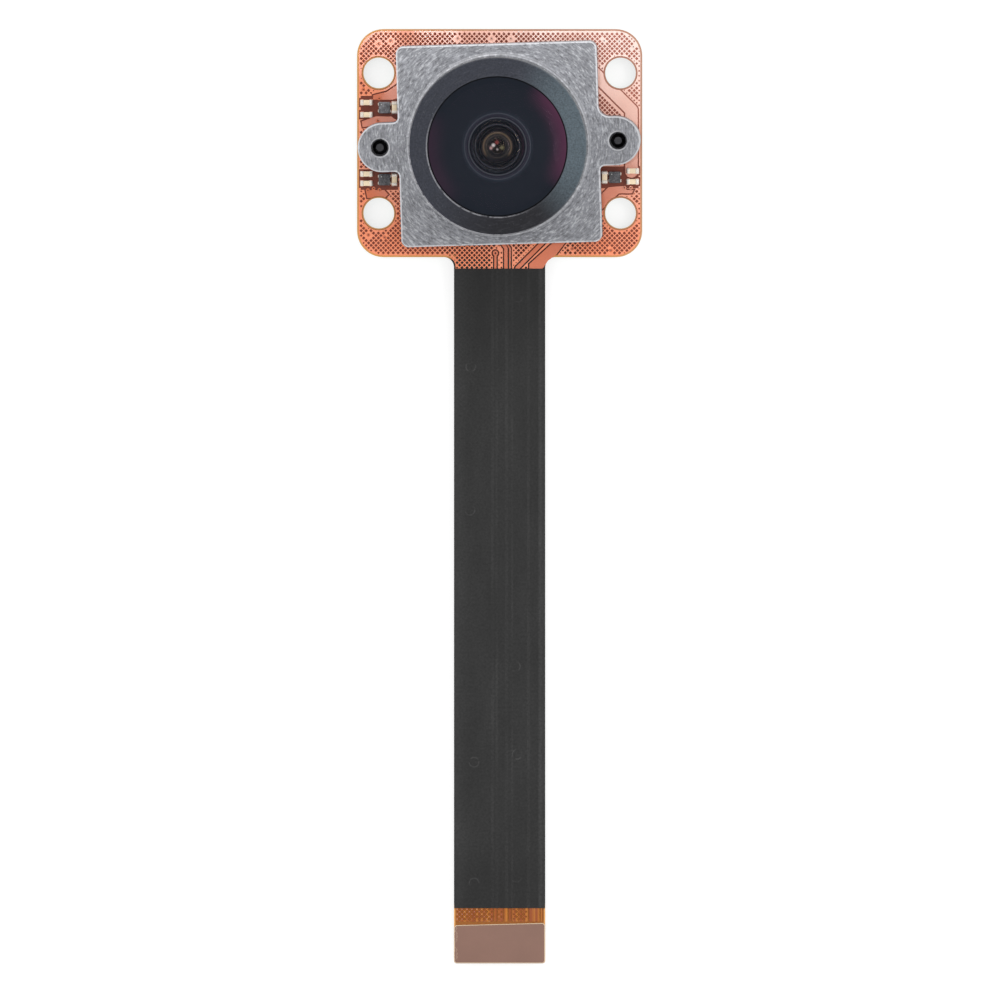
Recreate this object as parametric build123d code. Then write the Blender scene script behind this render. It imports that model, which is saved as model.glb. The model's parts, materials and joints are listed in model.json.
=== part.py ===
from build123d import *
from math import atan2, degrees, hypot, sqrt
import os

# A camera module: a wide-angle lens in a die-cast holder on a flexible circuit with a long tail.
# Sizes are in millimetres. The origin is the centre of the four mounting holes, on the back face.
# +Z looks out through the lens, and the tail runs along -Y.

# Lens barrel and its stepped bore
lens_thread_radius = 5.95
lens_thread_clearance = 0.05
lens_rear_gap = 0.1
lens_head_gap = 0.35
rear_lip = 0.6
rear_opening_radius = 3.4
small_bore_radius = 4.25
middle_bore_radius = 4.55
front_element_radius = 6.6
element_clearance = 0.05
front_bore_radius = front_element_radius + element_clearance
barrel_rim_wall = 0.45
lead_in = 0.3
cap_grip_length = 2.3
cap_lip = 0.7
cap_thread_clearance = 0.05
cap_wall = 0.67
cap_overlap = 0.44
cap_squeeze_gap = 0.2
cap_face_fall = 0.3
cap_outer_bevel = 0.2
cap_inner_bevel = 0.12
cap_opening_radius = front_element_radius - cap_overlap
lens_head_radius = front_bore_radius + barrel_rim_wall + cap_thread_clearance + cap_wall
grip_step = 0.12
barrel_grip_radius = lens_head_radius - grip_step
seal_radius = (front_bore_radius + middle_bore_radius) / 2
seal_width = 0.6
seal_height = 0.5
seal_bevel = 0.15
seal_groove_clearance = 0.05

# Glass, from the sensor out. A bulge stands out of the flange face, and a hollow's depth is negative.
rear_clear_radius = 3.1
rear_element_centre = 2.04
rear_element_front_bulge_height = 0.79
rear_element_rear_bulge_height = 0.35
doublet_clear_radius = 3.0
doublet_rear_centre = 2.06
doublet_rear_bulge_height = 0.46
doublet_joint_bulge_height = 1.0
doublet_front_centre = 0.47
doublet_front_hollow_depth = -0.23
third_clear_radius = 3.1
third_element_centre = 2.27
third_element_front_bulge_height = 0.72
third_element_rear_bulge_height = 0.55
second_element_centre = 0.73
second_front_clear_radius = 4.0
second_front_bulge_height = 0.4
second_rear_clear_radius = 2.8
second_rear_hollow_depth = -1.26
front_element_centre = 1.08
front_dome_height = 1.55
front_rear_clear_radius = 2.9
front_rear_hollow_depth = -1.87
spacer_opening_radius = 3.2
rear_air_gap = 0.25
middle_air_gap = 0.15
upper_air_gap = 0.48
front_air_gap = 0.25
stop_thickness = 0.1
stop_radius = 1.3
ring_edge_share = 0.3

# Image sensor and the filter over it
package_length = 7.4
package_width = 6.2
package_height = 0.8
package_floor = 0.25
package_wall = 0.45
die_margin = 0.15
die_thickness = 0.2
cover_glass_thickness = 0.4
filter_side = 8.0
filter_thickness = 0.3
filter_clearance = 0.1
filter_seat_depth = 0.35

# Lens holder
neck_overhang = 0.18
neck_radius = lens_head_radius + neck_overhang
neck_margin = 0.8
holder_side = 2 * (neck_radius + neck_margin)
holder_turn = 1.7
holder_corner_radius = 0.65
base_height = 5.0
ear_reach = 1.65
ear_radius = 2.15
ear_inset = 0.2
ear_root_radius = 0.45
wide_ear_root_radius = 1.0
ear_hole_diameter = 1.56
edge_break = 0.12
neck_height = 4.0
neck_root_bevel = 0.12
holder_wall = 2.1
cavity_side = holder_side - 2 * holder_wall
cavity_corner_radius = 1.0
cavity_height = 2.3
partition_thickness = 1.1
window_radius = 3.4
gasket_thickness = 0.05
gasket_setback = 0.15

# Small parts on the head of the circuit
capacitor_length = 1.0
capacitor_width = 0.5
capacitor_height = 0.5
terminal_length = 0.25
terminal_lip = 0.02
regulator_side = 1.0
regulator_height = 0.4
regulator_edge_break = 0.05
wall_gap = 0.17
part_gap = 0.13
fanout_gap = 0.57
edge_margin = 0.33
upper_row = ear_radius + 0.97
lower_row = -ear_radius - 1.05
right_row = -ear_radius - 0.84
upper_pair_pitch = 1.07
lower_pair_pitch = 0.82
right_pair_pitch = 0.94
pair_shift = 0.09
pad_length = 0.3
pad_overhang = 0.04

# Head of the circuit and the plate behind it
end_margin = 1.2
strip_width = (
    wall_gap + capacitor_width + part_gap + regulator_side + fanout_gap + capacitor_length + edge_margin
)
board_width = holder_side + 2 * strip_width
board_height = holder_side + 2 * end_margin
board_corner_radius = 2.3
hole_diameter = 2.7
hole_edge_distance = 1.9
hole_spacing_x = board_width - 2 * hole_edge_distance
hole_end_distance = 3.85
hole_spacing_y = board_height - 2 * hole_end_distance
stiffener_thickness = 0.8
stiffener_setback = 0.1
film_thickness = 0.15
copper_thickness = 0.03

# Tail
tail_width = 8.0
tail_length = 61.95
tail_root_radius = 0.9
tail_tip_radius = 0.25
shield_start = 1.0
shield_thickness = 0.04
shield_side_margin = 0.02
window_length = 1.3
end_stiffener_length = 3.55
end_stiffener_thickness = 0.15
end_stiffener_corner = 0.25
contact_count = 15
contact_pitch = 0.5
contact_width = 0.35
contact_length = 3.0
contact_thickness = 0.03
contact_tip_margin = 0.15

# Screws from the back into the ears
screw_diameter = 1.7
screw_head_diameter = 3.0
screw_head_recess = 0.05
screw_thread_clearance = 0.03
screw_thread_depth = 3.4
screw_hole_clearance = 0.1
screw_tip_diameter = 1.3
screw_tip_length = 0.5
drive_length = 1.5
drive_width = 0.3
drive_depth = 0.35

# Copper on the circuit
copper_edge_margin = 0.15
copper_gap = 0.12
hole_land_gap = 0.15
power_trace_width = 1.1
power_trace_start = (-3.1, 0.8)
signal_trace_x = -0.37
band_trace_x = 0.55
thin_trace_x = 0.9
diagonal_trace_x = 1.55
edge_trace_inset = 0.32
via_inset = 0.35
start_under_holder = 0.6
bend_rise = 0.8
signal_trace_width = 0.2
band_trace_width = 0.3
thin_trace_width = 0.14
diagonal_trace_width = 0.35
via_pad_diameter = 0.46
via_hole_diameter = 0.16

# Levels up the module
film_bottom = stiffener_thickness
film_top = film_bottom + film_thickness
copper_top = film_top + copper_thickness
foot_level = copper_top + gasket_thickness
base_top = foot_level + base_height
neck_top = base_top + neck_height
cavity_top = foot_level + cavity_height
partition_top = cavity_top + partition_thickness
lens_rear = partition_top + lens_rear_gap
head_bottom = neck_top + lens_head_gap

# Places across the module
ear_hole_x = holder_side / 2 + ear_reach
tail_tip_y = -board_height / 2 - tail_length
end_stiffener_y = tail_tip_y + end_stiffener_length
shield_end_y = end_stiffener_y + window_length
shield_start_y = -board_height / 2 - shield_start
regulator_x = holder_side / 2 + wall_gap + capacitor_width + part_gap + regulator_side / 2
side_capacitor_x = holder_side / 2 + wall_gap + capacitor_width / 2
pair_capacitor_x = board_width / 2 - edge_margin - capacitor_length / 2
part_groups = [
    (-1, upper_row, upper_pair_pitch),
    (-1, lower_row, lower_pair_pitch),
    (1, right_row, right_pair_pitch),
]


def mounting_holes(diameter):
    return GridLocations(hole_spacing_x, hole_spacing_y, 2, 2) * Circle(diameter / 2)


def screw_places():
    return [Rot(0, 0, holder_turn) * Pos(side * ear_hole_x, 0) for side in (-1, 1)]


def round_at(places, radius):
    return Sketch() + [place * Circle(radius) for place in places]


# The film's outline: the head, the tail and the rounded corners between them
def film_outline(setback=0):
    head = RectangleRounded(
        board_width - 2 * setback, board_height - 2 * setback, board_corner_radius - setback
    )
    tail = Pos(0, -(board_height + tail_length - setback) / 2) * Rectangle(
        tail_width - 2 * setback, tail_length - setback
    )
    bridge = Pos(0, -board_height / 2) * Rectangle(tail_width - 2 * setback, 4 * setback + 0.1)
    outline = head + tail + bridge

    root_y = -board_height / 2 + setback
    roots = [
        v for v in outline.vertices()
        if abs(v.Y - root_y) < 1e-4 and abs(abs(v.X) - tail_width / 2 + setback) < 1e-4
    ]
    outline = fillet(roots, tail_root_radius + setback)
    tips = [v for v in outline.vertices() if abs(v.Y - outline.bounding_box().min.Y) < 1e-4]
    return fillet(tips, tail_tip_radius)


def flex_circuit():
    face = film_outline() - mounting_holes(hole_diameter)
    face -= round_at(screw_places(), screw_diameter / 2 + screw_hole_clearance)
    return Pos(0, 0, film_bottom) * extrude(face, film_thickness)


# The plate behind the head, countersunk for the screw heads
def board_stiffener():
    face = RectangleRounded(
        board_width - 2 * stiffener_setback,
        board_height - 2 * stiffener_setback,
        board_corner_radius - stiffener_setback,
    )
    plate = extrude(face - mounting_holes(hole_diameter), stiffener_thickness)
    hole_radius = screw_diameter / 2 + screw_hole_clearance
    mouth_radius = screw_head_diameter / 2 + screw_thread_clearance
    sink = screw_head_diameter / 2 + screw_thread_clearance - hole_radius
    for place in screw_places():
        hole = Cylinder(hole_radius, 3 * stiffener_thickness)
        mouth = Cylinder(mouth_radius, screw_head_recess, align=(Align.CENTER, Align.CENTER, Align.MIN))
        cone = Pos(0, 0, screw_head_recess) * Cone(
            mouth_radius, hole_radius, sink, align=(Align.CENTER, Align.CENTER, Align.MIN)
        )
        plate -= place * (hole + mouth + cone)
    return plate


# Copper: round-ended runs and plain fields, and the ground field that keeps clear of them
def run_of(points, width):
    run = Sketch()
    for (x0, y0), (x1, y1) in zip(points, points[1:]):
        length = hypot(x1 - x0, y1 - y0)
        middle = Pos((x0 + x1) / 2, (y0 + y1) / 2)
        turn = degrees(atan2(y1 - y0, x1 - x0))
        run += middle * Rot(0, 0, turn) * SlotCenterToCenter(length, width)
    return run


def copper_runs(grow=0.0):
    head_foot = -board_height / 2
    under_holder = -holder_side / 2 + start_under_holder
    start_x = hole_spacing_x / 2 + power_trace_start[0]
    start_y = hole_spacing_y / 2 + power_trace_start[1]
    ear_side = board_width / 2 - copper_edge_margin - 2 * copper_gap - power_trace_width / 2
    slant = ear_side - start_x
    bend_y = head_foot + bend_rise
    widen = 2 * grow

    # From under the holder, past the upper right hole and the ear, to the right pair
    power = [(start_x, start_y), (ear_side, start_y - slant), (ear_side, right_row + 0.5)]
    # From the via down the whole tail, and the two lines beside it
    signal = [(signal_trace_x, head_foot + via_inset), (signal_trace_x, end_stiffener_y)]
    band = [(band_trace_x - 0.75, under_holder), (band_trace_x, bend_y), (band_trace_x, end_stiffener_y)]
    thin = [(thin_trace_x - 0.7, under_holder), (thin_trace_x, bend_y), (thin_trace_x, end_stiffener_y)]
    # The narrow diagonal, and the line beside the wide supply field
    diagonal = [(diagonal_trace_x + 2.75, under_holder), (diagonal_trace_x, under_holder - 2.75)]
    edge_x = tail_width / 2 - edge_trace_inset
    edge = [(edge_x, head_foot - tail_root_radius - 0.5), (edge_x, end_stiffener_y)]

    via = Pos(signal_trace_x, head_foot + via_inset) * Circle(via_pad_diameter / 2 + grow)
    return Sketch() + [
        run_of(power, power_trace_width + widen),
        run_of(signal, signal_trace_width + widen),
        run_of(band, band_trace_width + widen),
        run_of(thin, thin_trace_width + widen),
        run_of(diagonal, diagonal_trace_width + widen),
        run_of(edge, thin_trace_width + widen),
        via,
    ]


# A field beside the holder: its points are steps out from the holder's wall and up from the row of parts
def field_beside(side, row, steps):
    return [(side * (holder_side / 2 + out), row + up) for out, up in steps]


def copper_fields():
    head_foot = -board_height / 2
    under_holder = -holder_side / 2 + start_under_holder
    edge = tail_width / 2
    supply = [
        (edge + 1.25, under_holder), (edge + 2.15, under_holder), (edge + 0.95, head_foot + 0.2),
        (edge + 0.25, head_foot - 0.3), (edge - 0.15, head_foot - 0.9), (edge - 0.5, head_foot - 1.3),
        (edge - 0.5, end_stiffener_y), (edge - 1.4, end_stiffener_y), (edge - 1.4, head_foot - 0.6),
    ]
    over_regulator = [(2.3, 1.08), (1.1, 1.38), (-0.5, 2.48), (-0.5, 1.08), (0.55, 0.68), (2.3, 0.68)]
    over_ear = [(2.1, -0.77), (0.7, -0.77), (0.2, -1.12), (0.8, -1.42), (3.2, -1.72), (3.3, -1.22)]
    via_patch = [(2.95, -0.9), (1.3, -0.9), (0.95, -1.3), (1.25, -1.6), (2.8, -1.6)]
    under_regulator = [
        (-0.3, -1.91), (0.75, -0.86), (2.1, -0.76), (2.35, -1.11), (2.95, -1.11), (2.8, -1.41),
        (1.65, -1.41), (-0.3, -3.26),
    ]
    return [
        supply,
        field_beside(-1, upper_row, over_regulator),
        field_beside(-1, upper_row, over_ear),
        field_beside(-1, lower_row, via_patch),
        field_beside(1, right_row, under_regulator),
    ]


def fields_sketch(grow=0.0):
    fields = [Polygon(*points, align=None) for points in copper_fields()]
    if grow:
        fields = [offset(field, grow, kind=Kind.INTERSECTION) for field in fields]
    return Sketch() + fields


def part_pads(grow=0.0):
    pads = []
    side_pad = Rectangle(capacitor_width + 2 * pad_overhang + 2 * grow, pad_length + 2 * grow)
    end_pad = Rectangle(pad_length + 2 * grow, capacitor_width + 2 * pad_overhang + 2 * grow)
    corner_pad = Rectangle(pad_length + 2 * grow, pad_length + 2 * grow)
    reach = (capacitor_length - pad_length) / 2 + pad_overhang
    spread = regulator_side - pad_length
    for side, row, pitch in part_groups:
        for end in (-1, 1):
            pads.append(Pos(side * side_capacitor_x, row + end * reach) * side_pad)
        pair_row = row - pair_shift * (1 if row > 0 else -1)
        for place in GridLocations(2 * reach, pitch, 2, 2):
            pads.append(Pos(side * pair_capacitor_x, pair_row) * place * end_pad)
        for place in GridLocations(spread, spread, 2, 2):
            pads.append(Pos(side * regulator_x, row) * place * corner_pad)
    return Sketch() + pads


# Copper keeps clear of the holes and ends short of the stiffener on the tail's end
def clear_of_holes(face):
    cut_height = end_stiffener_length + copper_gap
    face -= mounting_holes(hole_diameter + 2 * hole_land_gap)
    face -= round_at(screw_places(), screw_diameter / 2 + screw_hole_clearance + hole_land_gap)
    return face - Pos(0, tail_tip_y + cut_height / 2) * Rectangle(2 * tail_width, cut_height)


def trace_copper():
    face = clear_of_holes(copper_runs() + fields_sketch() + part_pads())
    face -= Pos(signal_trace_x, -board_height / 2 + via_inset) * Circle(via_hole_diameter / 2)
    return Pos(0, 0, film_top) * extrude(face, copper_thickness, dir=(0, 0, 1))


def ground_copper():
    face = clear_of_holes(film_outline(copper_edge_margin))
    face -= copper_runs(copper_gap)
    face -= fields_sketch(copper_gap)
    face -= part_pads(copper_gap)
    for side, row, pitch in part_groups:
        inner = holder_side / 2 + wall_gap / 2
        outer = board_width / 2 - edge_margin / 2 - copper_edge_margin
        window = Rectangle(outer - inner, pitch + capacitor_width + 4 * copper_gap)
        face -= Pos(side * (inner + outer) / 2, row) * window
    pieces = [piece for piece in face.faces() if piece.area > copper_gap * copper_gap]
    return Pos(0, 0, film_top) * extrude(Sketch() + pieces, copper_thickness, dir=(0, 0, 1))


# Films, stiffener and contacts of the tail
def tail_shield(level):
    length = shield_start_y - shield_end_y
    film = Box(
        tail_width - 2 * shield_side_margin, length, shield_thickness,
        align=(Align.CENTER, Align.MIN, Align.MIN),
    )
    return Pos(0, shield_end_y, level) * film


def tail_end_stiffener():
    face = Rectangle(
        tail_width - 2 * shield_side_margin, end_stiffener_length - shield_side_margin,
        align=(Align.CENTER, Align.MAX),
    )
    face = fillet(face.vertices(), end_stiffener_corner)
    return Pos(0, end_stiffener_y, film_top) * extrude(face, end_stiffener_thickness)


def contact_fingers():
    finger = Box(contact_width, contact_length, contact_thickness, align=(Align.CENTER, Align.MIN, Align.MAX))
    row = GridLocations(contact_pitch, 1, contact_count, 1)
    return Pos(0, tail_tip_y + contact_tip_margin, film_bottom) * Part(children=[p * finger for p in row])


# Small parts
def capacitor():
    body = Box(
        capacitor_length - 2 * terminal_lip,
        capacitor_width - 2 * terminal_lip,
        capacitor_height - 2 * terminal_lip,
    )
    terminal = Box(terminal_length, capacitor_width, capacitor_height)
    reach = (capacitor_length - terminal_length) / 2
    chip = body + Pos(-reach, 0) * terminal + Pos(reach, 0) * terminal
    chip = chamfer(chip.faces().sort_by(Axis.X)[0].edges(), terminal_lip)
    chip = chamfer(chip.faces().sort_by(Axis.X)[-1].edges(), terminal_lip)
    return Pos(0, 0, capacitor_height / 2) * chip


def capacitor_places():
    places = []
    for side, row, pitch in part_groups:
        pair_row = row - pair_shift * (1 if row > 0 else -1)
        places.append(Pos(side * pair_capacitor_x, pair_row + pitch / 2, copper_top))
        places.append(Pos(side * pair_capacitor_x, pair_row - pitch / 2, copper_top))
        places.append(Pos(side * side_capacitor_x, row, copper_top) * Rot(0, 0, 90))
    return places


def regulator():
    body = Box(
        regulator_side, regulator_side, regulator_height, align=(Align.CENTER, Align.CENTER, Align.MIN)
    )
    return chamfer(body.edges().group_by(Axis.Z)[-1], regulator_edge_break)


# Image sensor and filter
def sensor_package():
    low = (Align.CENTER, Align.CENTER, Align.MIN)
    tray = Box(package_length, package_width, package_height, align=low)
    tray -= Pos(0, 0, package_floor) * Box(
        package_length - 2 * package_wall, package_width - 2 * package_wall, package_height, align=low
    )
    return Pos(0, 0, copper_top) * tray


def sensor_die():
    inset = 2 * (package_wall + die_margin)
    die = Box(
        package_length - inset, package_width - inset, die_thickness,
        align=(Align.CENTER, Align.CENTER, Align.MIN),
    )
    return Pos(0, 0, copper_top + package_floor) * die


def sensor_glass():
    lid = Box(
        package_length, package_width, cover_glass_thickness,
        align=(Align.CENTER, Align.CENTER, Align.MIN),
    )
    return Pos(0, 0, copper_top + package_height) * chamfer(lid.edges().group_by(Axis.Z)[-1], edge_break / 2)


def ir_filter():
    plate = Box(filter_side, filter_side, filter_thickness, align=(Align.CENTER, Align.CENTER, Align.MAX))
    return Rot(0, 0, holder_turn) * Pos(0, 0, cavity_top + filter_seat_depth) * plate


# The holder, drawn square and turned on the board at the end
def holder_outline():
    ear_x = ear_hole_x - ear_inset
    outline = RectangleRounded(holder_side, holder_side, holder_corner_radius)
    outline += Rectangle(2 * ear_x, 2 * ear_radius)
    outline += [Pos(side * ear_x, 0) * Circle(ear_radius) for side in (-1, 1)]
    roots = [
        v for v in outline.vertices()
        if abs(abs(v.X) - holder_side / 2) < 1e-4 and abs(abs(v.Y) - ear_radius) < 1e-4
    ]
    wide = [v for v in roots if v.X > 0 and v.Y > 0]
    outline = fillet([v for v in roots if v not in wide], ear_root_radius)
    wide = [
        v for v in outline.vertices()
        if abs(v.X - holder_side / 2) < 1e-4 and abs(v.Y - ear_radius) < 1e-4
    ]
    return fillet(wide, wide_ear_root_radius)


def holder_gasket():
    face = offset(holder_outline(), -gasket_setback)
    face -= RectangleRounded(
        cavity_side + 2 * gasket_setback, cavity_side + 2 * gasket_setback, cavity_corner_radius
    )
    face -= [Pos(side * ear_hole_x, 0) * Circle(screw_diameter / 2 + gasket_setback) for side in (-1, 1)]
    return Rot(0, 0, holder_turn) * Pos(0, 0, copper_top) * extrude(face, gasket_thickness)


def lens_holder():
    low = (Align.CENTER, Align.CENTER, Align.MIN)
    base = extrude(holder_outline(), base_height)
    base = chamfer(base.edges().group_by(Axis.Z)[-1], edge_break)
    neck = Pos(0, 0, base_height) * Cylinder(neck_radius, neck_height, align=low)
    neck = chamfer(neck.edges().group_by(Axis.Z)[-1], edge_break)
    body = base + neck
    root = [
        e for e in body.edges().filter_by(GeomType.CIRCLE)
        if abs(e.radius - neck_radius) < 1e-4 and abs(e.center().Z - base_height) < 1e-4
    ]
    body = chamfer(root, neck_root_bevel)
    cavity = extrude(RectangleRounded(cavity_side, cavity_side, cavity_corner_radius), cavity_height)
    seat_side = filter_side + 2 * filter_clearance
    seat = Pos(0, 0, cavity_height) * Box(seat_side, seat_side, filter_seat_depth, align=low)
    window = Cylinder(window_radius, cavity_height + 2 * partition_thickness, align=low)
    bore_floor = cavity_height + partition_thickness
    bore_radius = lens_thread_radius + lens_thread_clearance
    bore = Pos(0, 0, bore_floor) * Cylinder(bore_radius, base_height + neck_height, align=low)
    mouth = Pos(0, 0, base_height + neck_height - lead_in) * Cone(
        bore_radius, bore_radius + lead_in, lead_in, align=low
    )
    body -= cavity + seat + window + bore + mouth
    formed = Cylinder(screw_diameter / 2 + screw_thread_clearance, screw_thread_depth, align=low)
    pilot = Cylinder(ear_hole_diameter / 2, base_height, align=low)
    rim = Pos(0, 0, base_height - edge_break) * Cone(
        ear_hole_diameter / 2, ear_hole_diameter / 2 + edge_break, edge_break, align=low
    )
    for side in (-1, 1):
        body -= Pos(side * ear_hole_x, 0) * (formed + pilot + rim)
    return Rot(0, 0, holder_turn) * Pos(0, 0, foot_level) * body


# Countersunk screws whose tips end part way up the ear holes
def holder_screws():
    low = (Align.CENTER, Align.CENTER, Align.MIN)
    shank_radius = screw_diameter / 2
    head_height = (screw_head_diameter - screw_diameter) / 2
    shank_top = foot_level + screw_thread_depth - screw_thread_clearance
    shank = Cylinder(shank_radius, shank_top - screw_head_recess, align=low)
    head = Cone(screw_head_diameter / 2, shank_radius, head_height, align=low)
    tip = Pos(0, 0, shank_top - screw_head_recess) * Cone(
        screw_tip_diameter / 2, screw_tip_diameter / 4, screw_tip_length, align=low
    )
    slot = Box(drive_length, drive_width, drive_depth, align=low)
    screw = Pos(0, 0, screw_head_recess) * (shank + head + tip - slot - Rot(0, 0, 90) * slot)
    return Part(children=[place * screw for place in screw_places()])


# Glass and rings of the lens, as half sections turned round the optical axis
def curve_height(bulge, clear_radius, radius):
    sphere = (clear_radius**2 + bulge**2) / (2 * abs(bulge))
    depth = abs(bulge) - sphere + sqrt(sphere**2 - radius**2)
    return depth if bulge > 0 else -depth


def turned(outline):
    return revolve(make_face(outline), Axis.Z)


class Glass:
    def __init__(self, radius, centre, front, front_clear, rear, rear_clear):
        self.radius = radius - element_clearance
        self.thickness = centre - front - rear
        self.front = front
        self.front_clear = front_clear
        self.rear = rear
        self.rear_clear = rear_clear

    def solid(self, z):
        top = z + self.thickness
        front_half = self.front_clear / 2
        rear_half = self.rear_clear / 2
        front_mid = top + curve_height(self.front, self.front_clear, front_half)
        rear_mid = z - curve_height(self.rear, self.rear_clear, rear_half)
        front_vertex = (0, 0, top + self.front)
        rear_vertex = (0, 0, z - self.rear)
        outline = [
            ThreePointArc(rear_vertex, (rear_half, 0, rear_mid), (self.rear_clear, 0, z)),
            Polyline(
                (self.rear_clear, 0, z), (self.radius, 0, z), (self.radius, 0, top), (self.front_clear, 0, top)
            ),
            ThreePointArc((self.front_clear, 0, top), (front_half, 0, front_mid), front_vertex),
            Line(front_vertex, rear_vertex),
        ]
        return turned(outline)


class Ring:
    def __init__(self, radius, opening, thickness):
        self.radius = radius - element_clearance
        self.opening = opening
        self.thickness = thickness

    def solid(self, z):
        edge = min(self.thickness, self.radius - self.opening) * ring_edge_share
        points = [
            (self.opening + edge, 0, z), (self.radius, 0, z), (self.radius, 0, z + self.thickness),
            (self.opening + edge, 0, z + self.thickness), (self.opening, 0, z + self.thickness / 2),
            (self.opening + edge, 0, z),
        ]
        return turned([Polyline(*points)])


def lens_stack():
    return {
        "rear_element": Glass(
            small_bore_radius, rear_element_centre, rear_element_front_bulge_height, rear_clear_radius,
            rear_element_rear_bulge_height, rear_clear_radius,
        ),
        "rear_spacer": Ring(
            small_bore_radius, spacer_opening_radius,
            rear_element_front_bulge_height + doublet_rear_bulge_height + rear_air_gap,
        ),
        "doublet_rear": Glass(
            small_bore_radius, doublet_rear_centre, doublet_joint_bulge_height, doublet_clear_radius,
            doublet_rear_bulge_height, doublet_clear_radius,
        ),
        "doublet_front": Glass(
            small_bore_radius, doublet_front_centre, doublet_front_hollow_depth, doublet_clear_radius,
            -doublet_joint_bulge_height, doublet_clear_radius,
        ),
        "aperture_stop": Ring(small_bore_radius, stop_radius, stop_thickness),
        "middle_spacer": Ring(
            small_bore_radius, spacer_opening_radius, third_element_rear_bulge_height + middle_air_gap
        ),
        "third_element": Glass(
            small_bore_radius, third_element_centre, third_element_front_bulge_height, third_clear_radius,
            third_element_rear_bulge_height, third_clear_radius,
        ),
        "upper_spacer": Ring(
            small_bore_radius, spacer_opening_radius, third_element_front_bulge_height + upper_air_gap
        ),
        "second_element": Glass(
            middle_bore_radius, second_element_centre, second_front_bulge_height, second_front_clear_radius,
            second_rear_hollow_depth, second_rear_clear_radius,
        ),
        "front_spacer": Ring(middle_bore_radius, second_front_clear_radius, front_air_gap),
        "front_element": Glass(
            front_bore_radius, front_element_centre, front_dome_height, cap_opening_radius,
            front_rear_hollow_depth, front_rear_clear_radius,
        ),
    }


def stack_levels():
    level = lens_rear + rear_lip
    levels = {}
    for name, piece in lens_stack().items():
        levels[name] = level
        level += piece.thickness
    levels["cap_seat"] = level
    return levels


def lens_barrel():
    levels = stack_levels()
    rim = levels["cap_seat"] - cap_squeeze_gap
    rim_radius = front_bore_radius + barrel_rim_wall
    shoulder = levels["cap_seat"] - cap_grip_length - cap_squeeze_gap
    front_floor = levels["front_element"]
    points = [
        (rear_opening_radius, lens_rear),
        (lens_thread_radius - lead_in, lens_rear),
        (lens_thread_radius, lens_rear + lead_in),
        (lens_thread_radius, head_bottom),
        (barrel_grip_radius - lead_in, head_bottom),
        (barrel_grip_radius, head_bottom + lead_in),
        (barrel_grip_radius, shoulder),
        (rim_radius, shoulder),
        (rim_radius, rim),
        (front_bore_radius, rim),
        (front_bore_radius, front_floor),
        (middle_bore_radius, front_floor),
        (middle_bore_radius, levels["second_element"]),
        (small_bore_radius, levels["second_element"]),
        (small_bore_radius, lens_rear + rear_lip),
        (rear_opening_radius, lens_rear + rear_lip),
        (rear_opening_radius, lens_rear),
    ]
    barrel = turned([Polyline(*[(r, 0, z) for r, z in points])])
    groove_width = seal_width + 2 * seal_groove_clearance
    groove = Pos(seal_radius, 0, front_floor - seal_height / 2) * Rot(90, 0, 0) * Rectangle(
        groove_width, seal_height
    )
    return barrel - revolve(groove, Axis.Z)


def front_seal():
    section = Rectangle(seal_width, seal_height)
    section = Rot(90, 0, 0) * chamfer(section.vertices(), seal_bevel)
    level = stack_levels()["front_element"] - seal_height / 2
    return revolve(Pos(seal_radius, 0, level) * section, Axis.Z)


def front_cap_ring():
    seat = stack_levels()["cap_seat"]
    skirt_radius = front_bore_radius + barrel_rim_wall + cap_thread_clearance
    top = seat + cap_lip
    points = [
        (skirt_radius, seat - cap_grip_length),
        (lens_head_radius, seat - cap_grip_length),
        (lens_head_radius, top - cap_face_fall - cap_outer_bevel),
        (lens_head_radius - cap_outer_bevel, top - cap_face_fall),
        (cap_opening_radius + cap_inner_bevel, top),
        (cap_opening_radius, top - cap_inner_bevel),
        (cap_opening_radius, seat),
        (skirt_radius, seat),
        (skirt_radius, seat - cap_grip_length),
    ]
    return turned([Polyline(*[(r, 0, z) for r, z in points])])


def all_pieces():
    pieces = {
        "board_stiffener": board_stiffener(),
        "flex_circuit": flex_circuit(),
        "ground_copper": ground_copper(),
        "trace_copper": trace_copper(),
        "tail_shield_front": tail_shield(copper_top),
        "tail_shield_back": tail_shield(film_bottom - shield_thickness),
        "tail_end_stiffener": tail_end_stiffener(),
        "contact_fingers": contact_fingers(),
        "sensor_package": sensor_package(),
        "sensor_die": sensor_die(),
        "sensor_glass": sensor_glass(),
        "ir_filter": ir_filter(),
        "holder_gasket": holder_gasket(),
        "lens_holder": lens_holder(),
        "holder_screws": holder_screws(),
        "lens_barrel": lens_barrel(),
        "front_seal": front_seal(),
        "front_cap_ring": front_cap_ring(),
    }
    levels = stack_levels()
    for name, piece in lens_stack().items():
        pieces[name] = piece.solid(levels[name])
    for number, place in enumerate(capacitor_places(), 1):
        pieces[f"capacitor_{number}"] = place * capacitor()
    for number, (side, row, pitch) in enumerate(part_groups, 1):
        pieces[f"regulator_{number}"] = Pos(side * regulator_x, row, copper_top) * regulator()
    return pieces


os.makedirs("parts", exist_ok=True)
for node, shape in all_pieces().items():
    export_step(shape, f"parts/{node}.step")
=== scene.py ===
import json
from math import cos, pi, radians, sin, sqrt

import bmesh
import bpy
from bpy.props import FloatProperty, FloatVectorProperty, IntProperty, PointerProperty
from mathutils import Matrix, Vector
from mathutils.bvhtree import BVHTree


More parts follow.
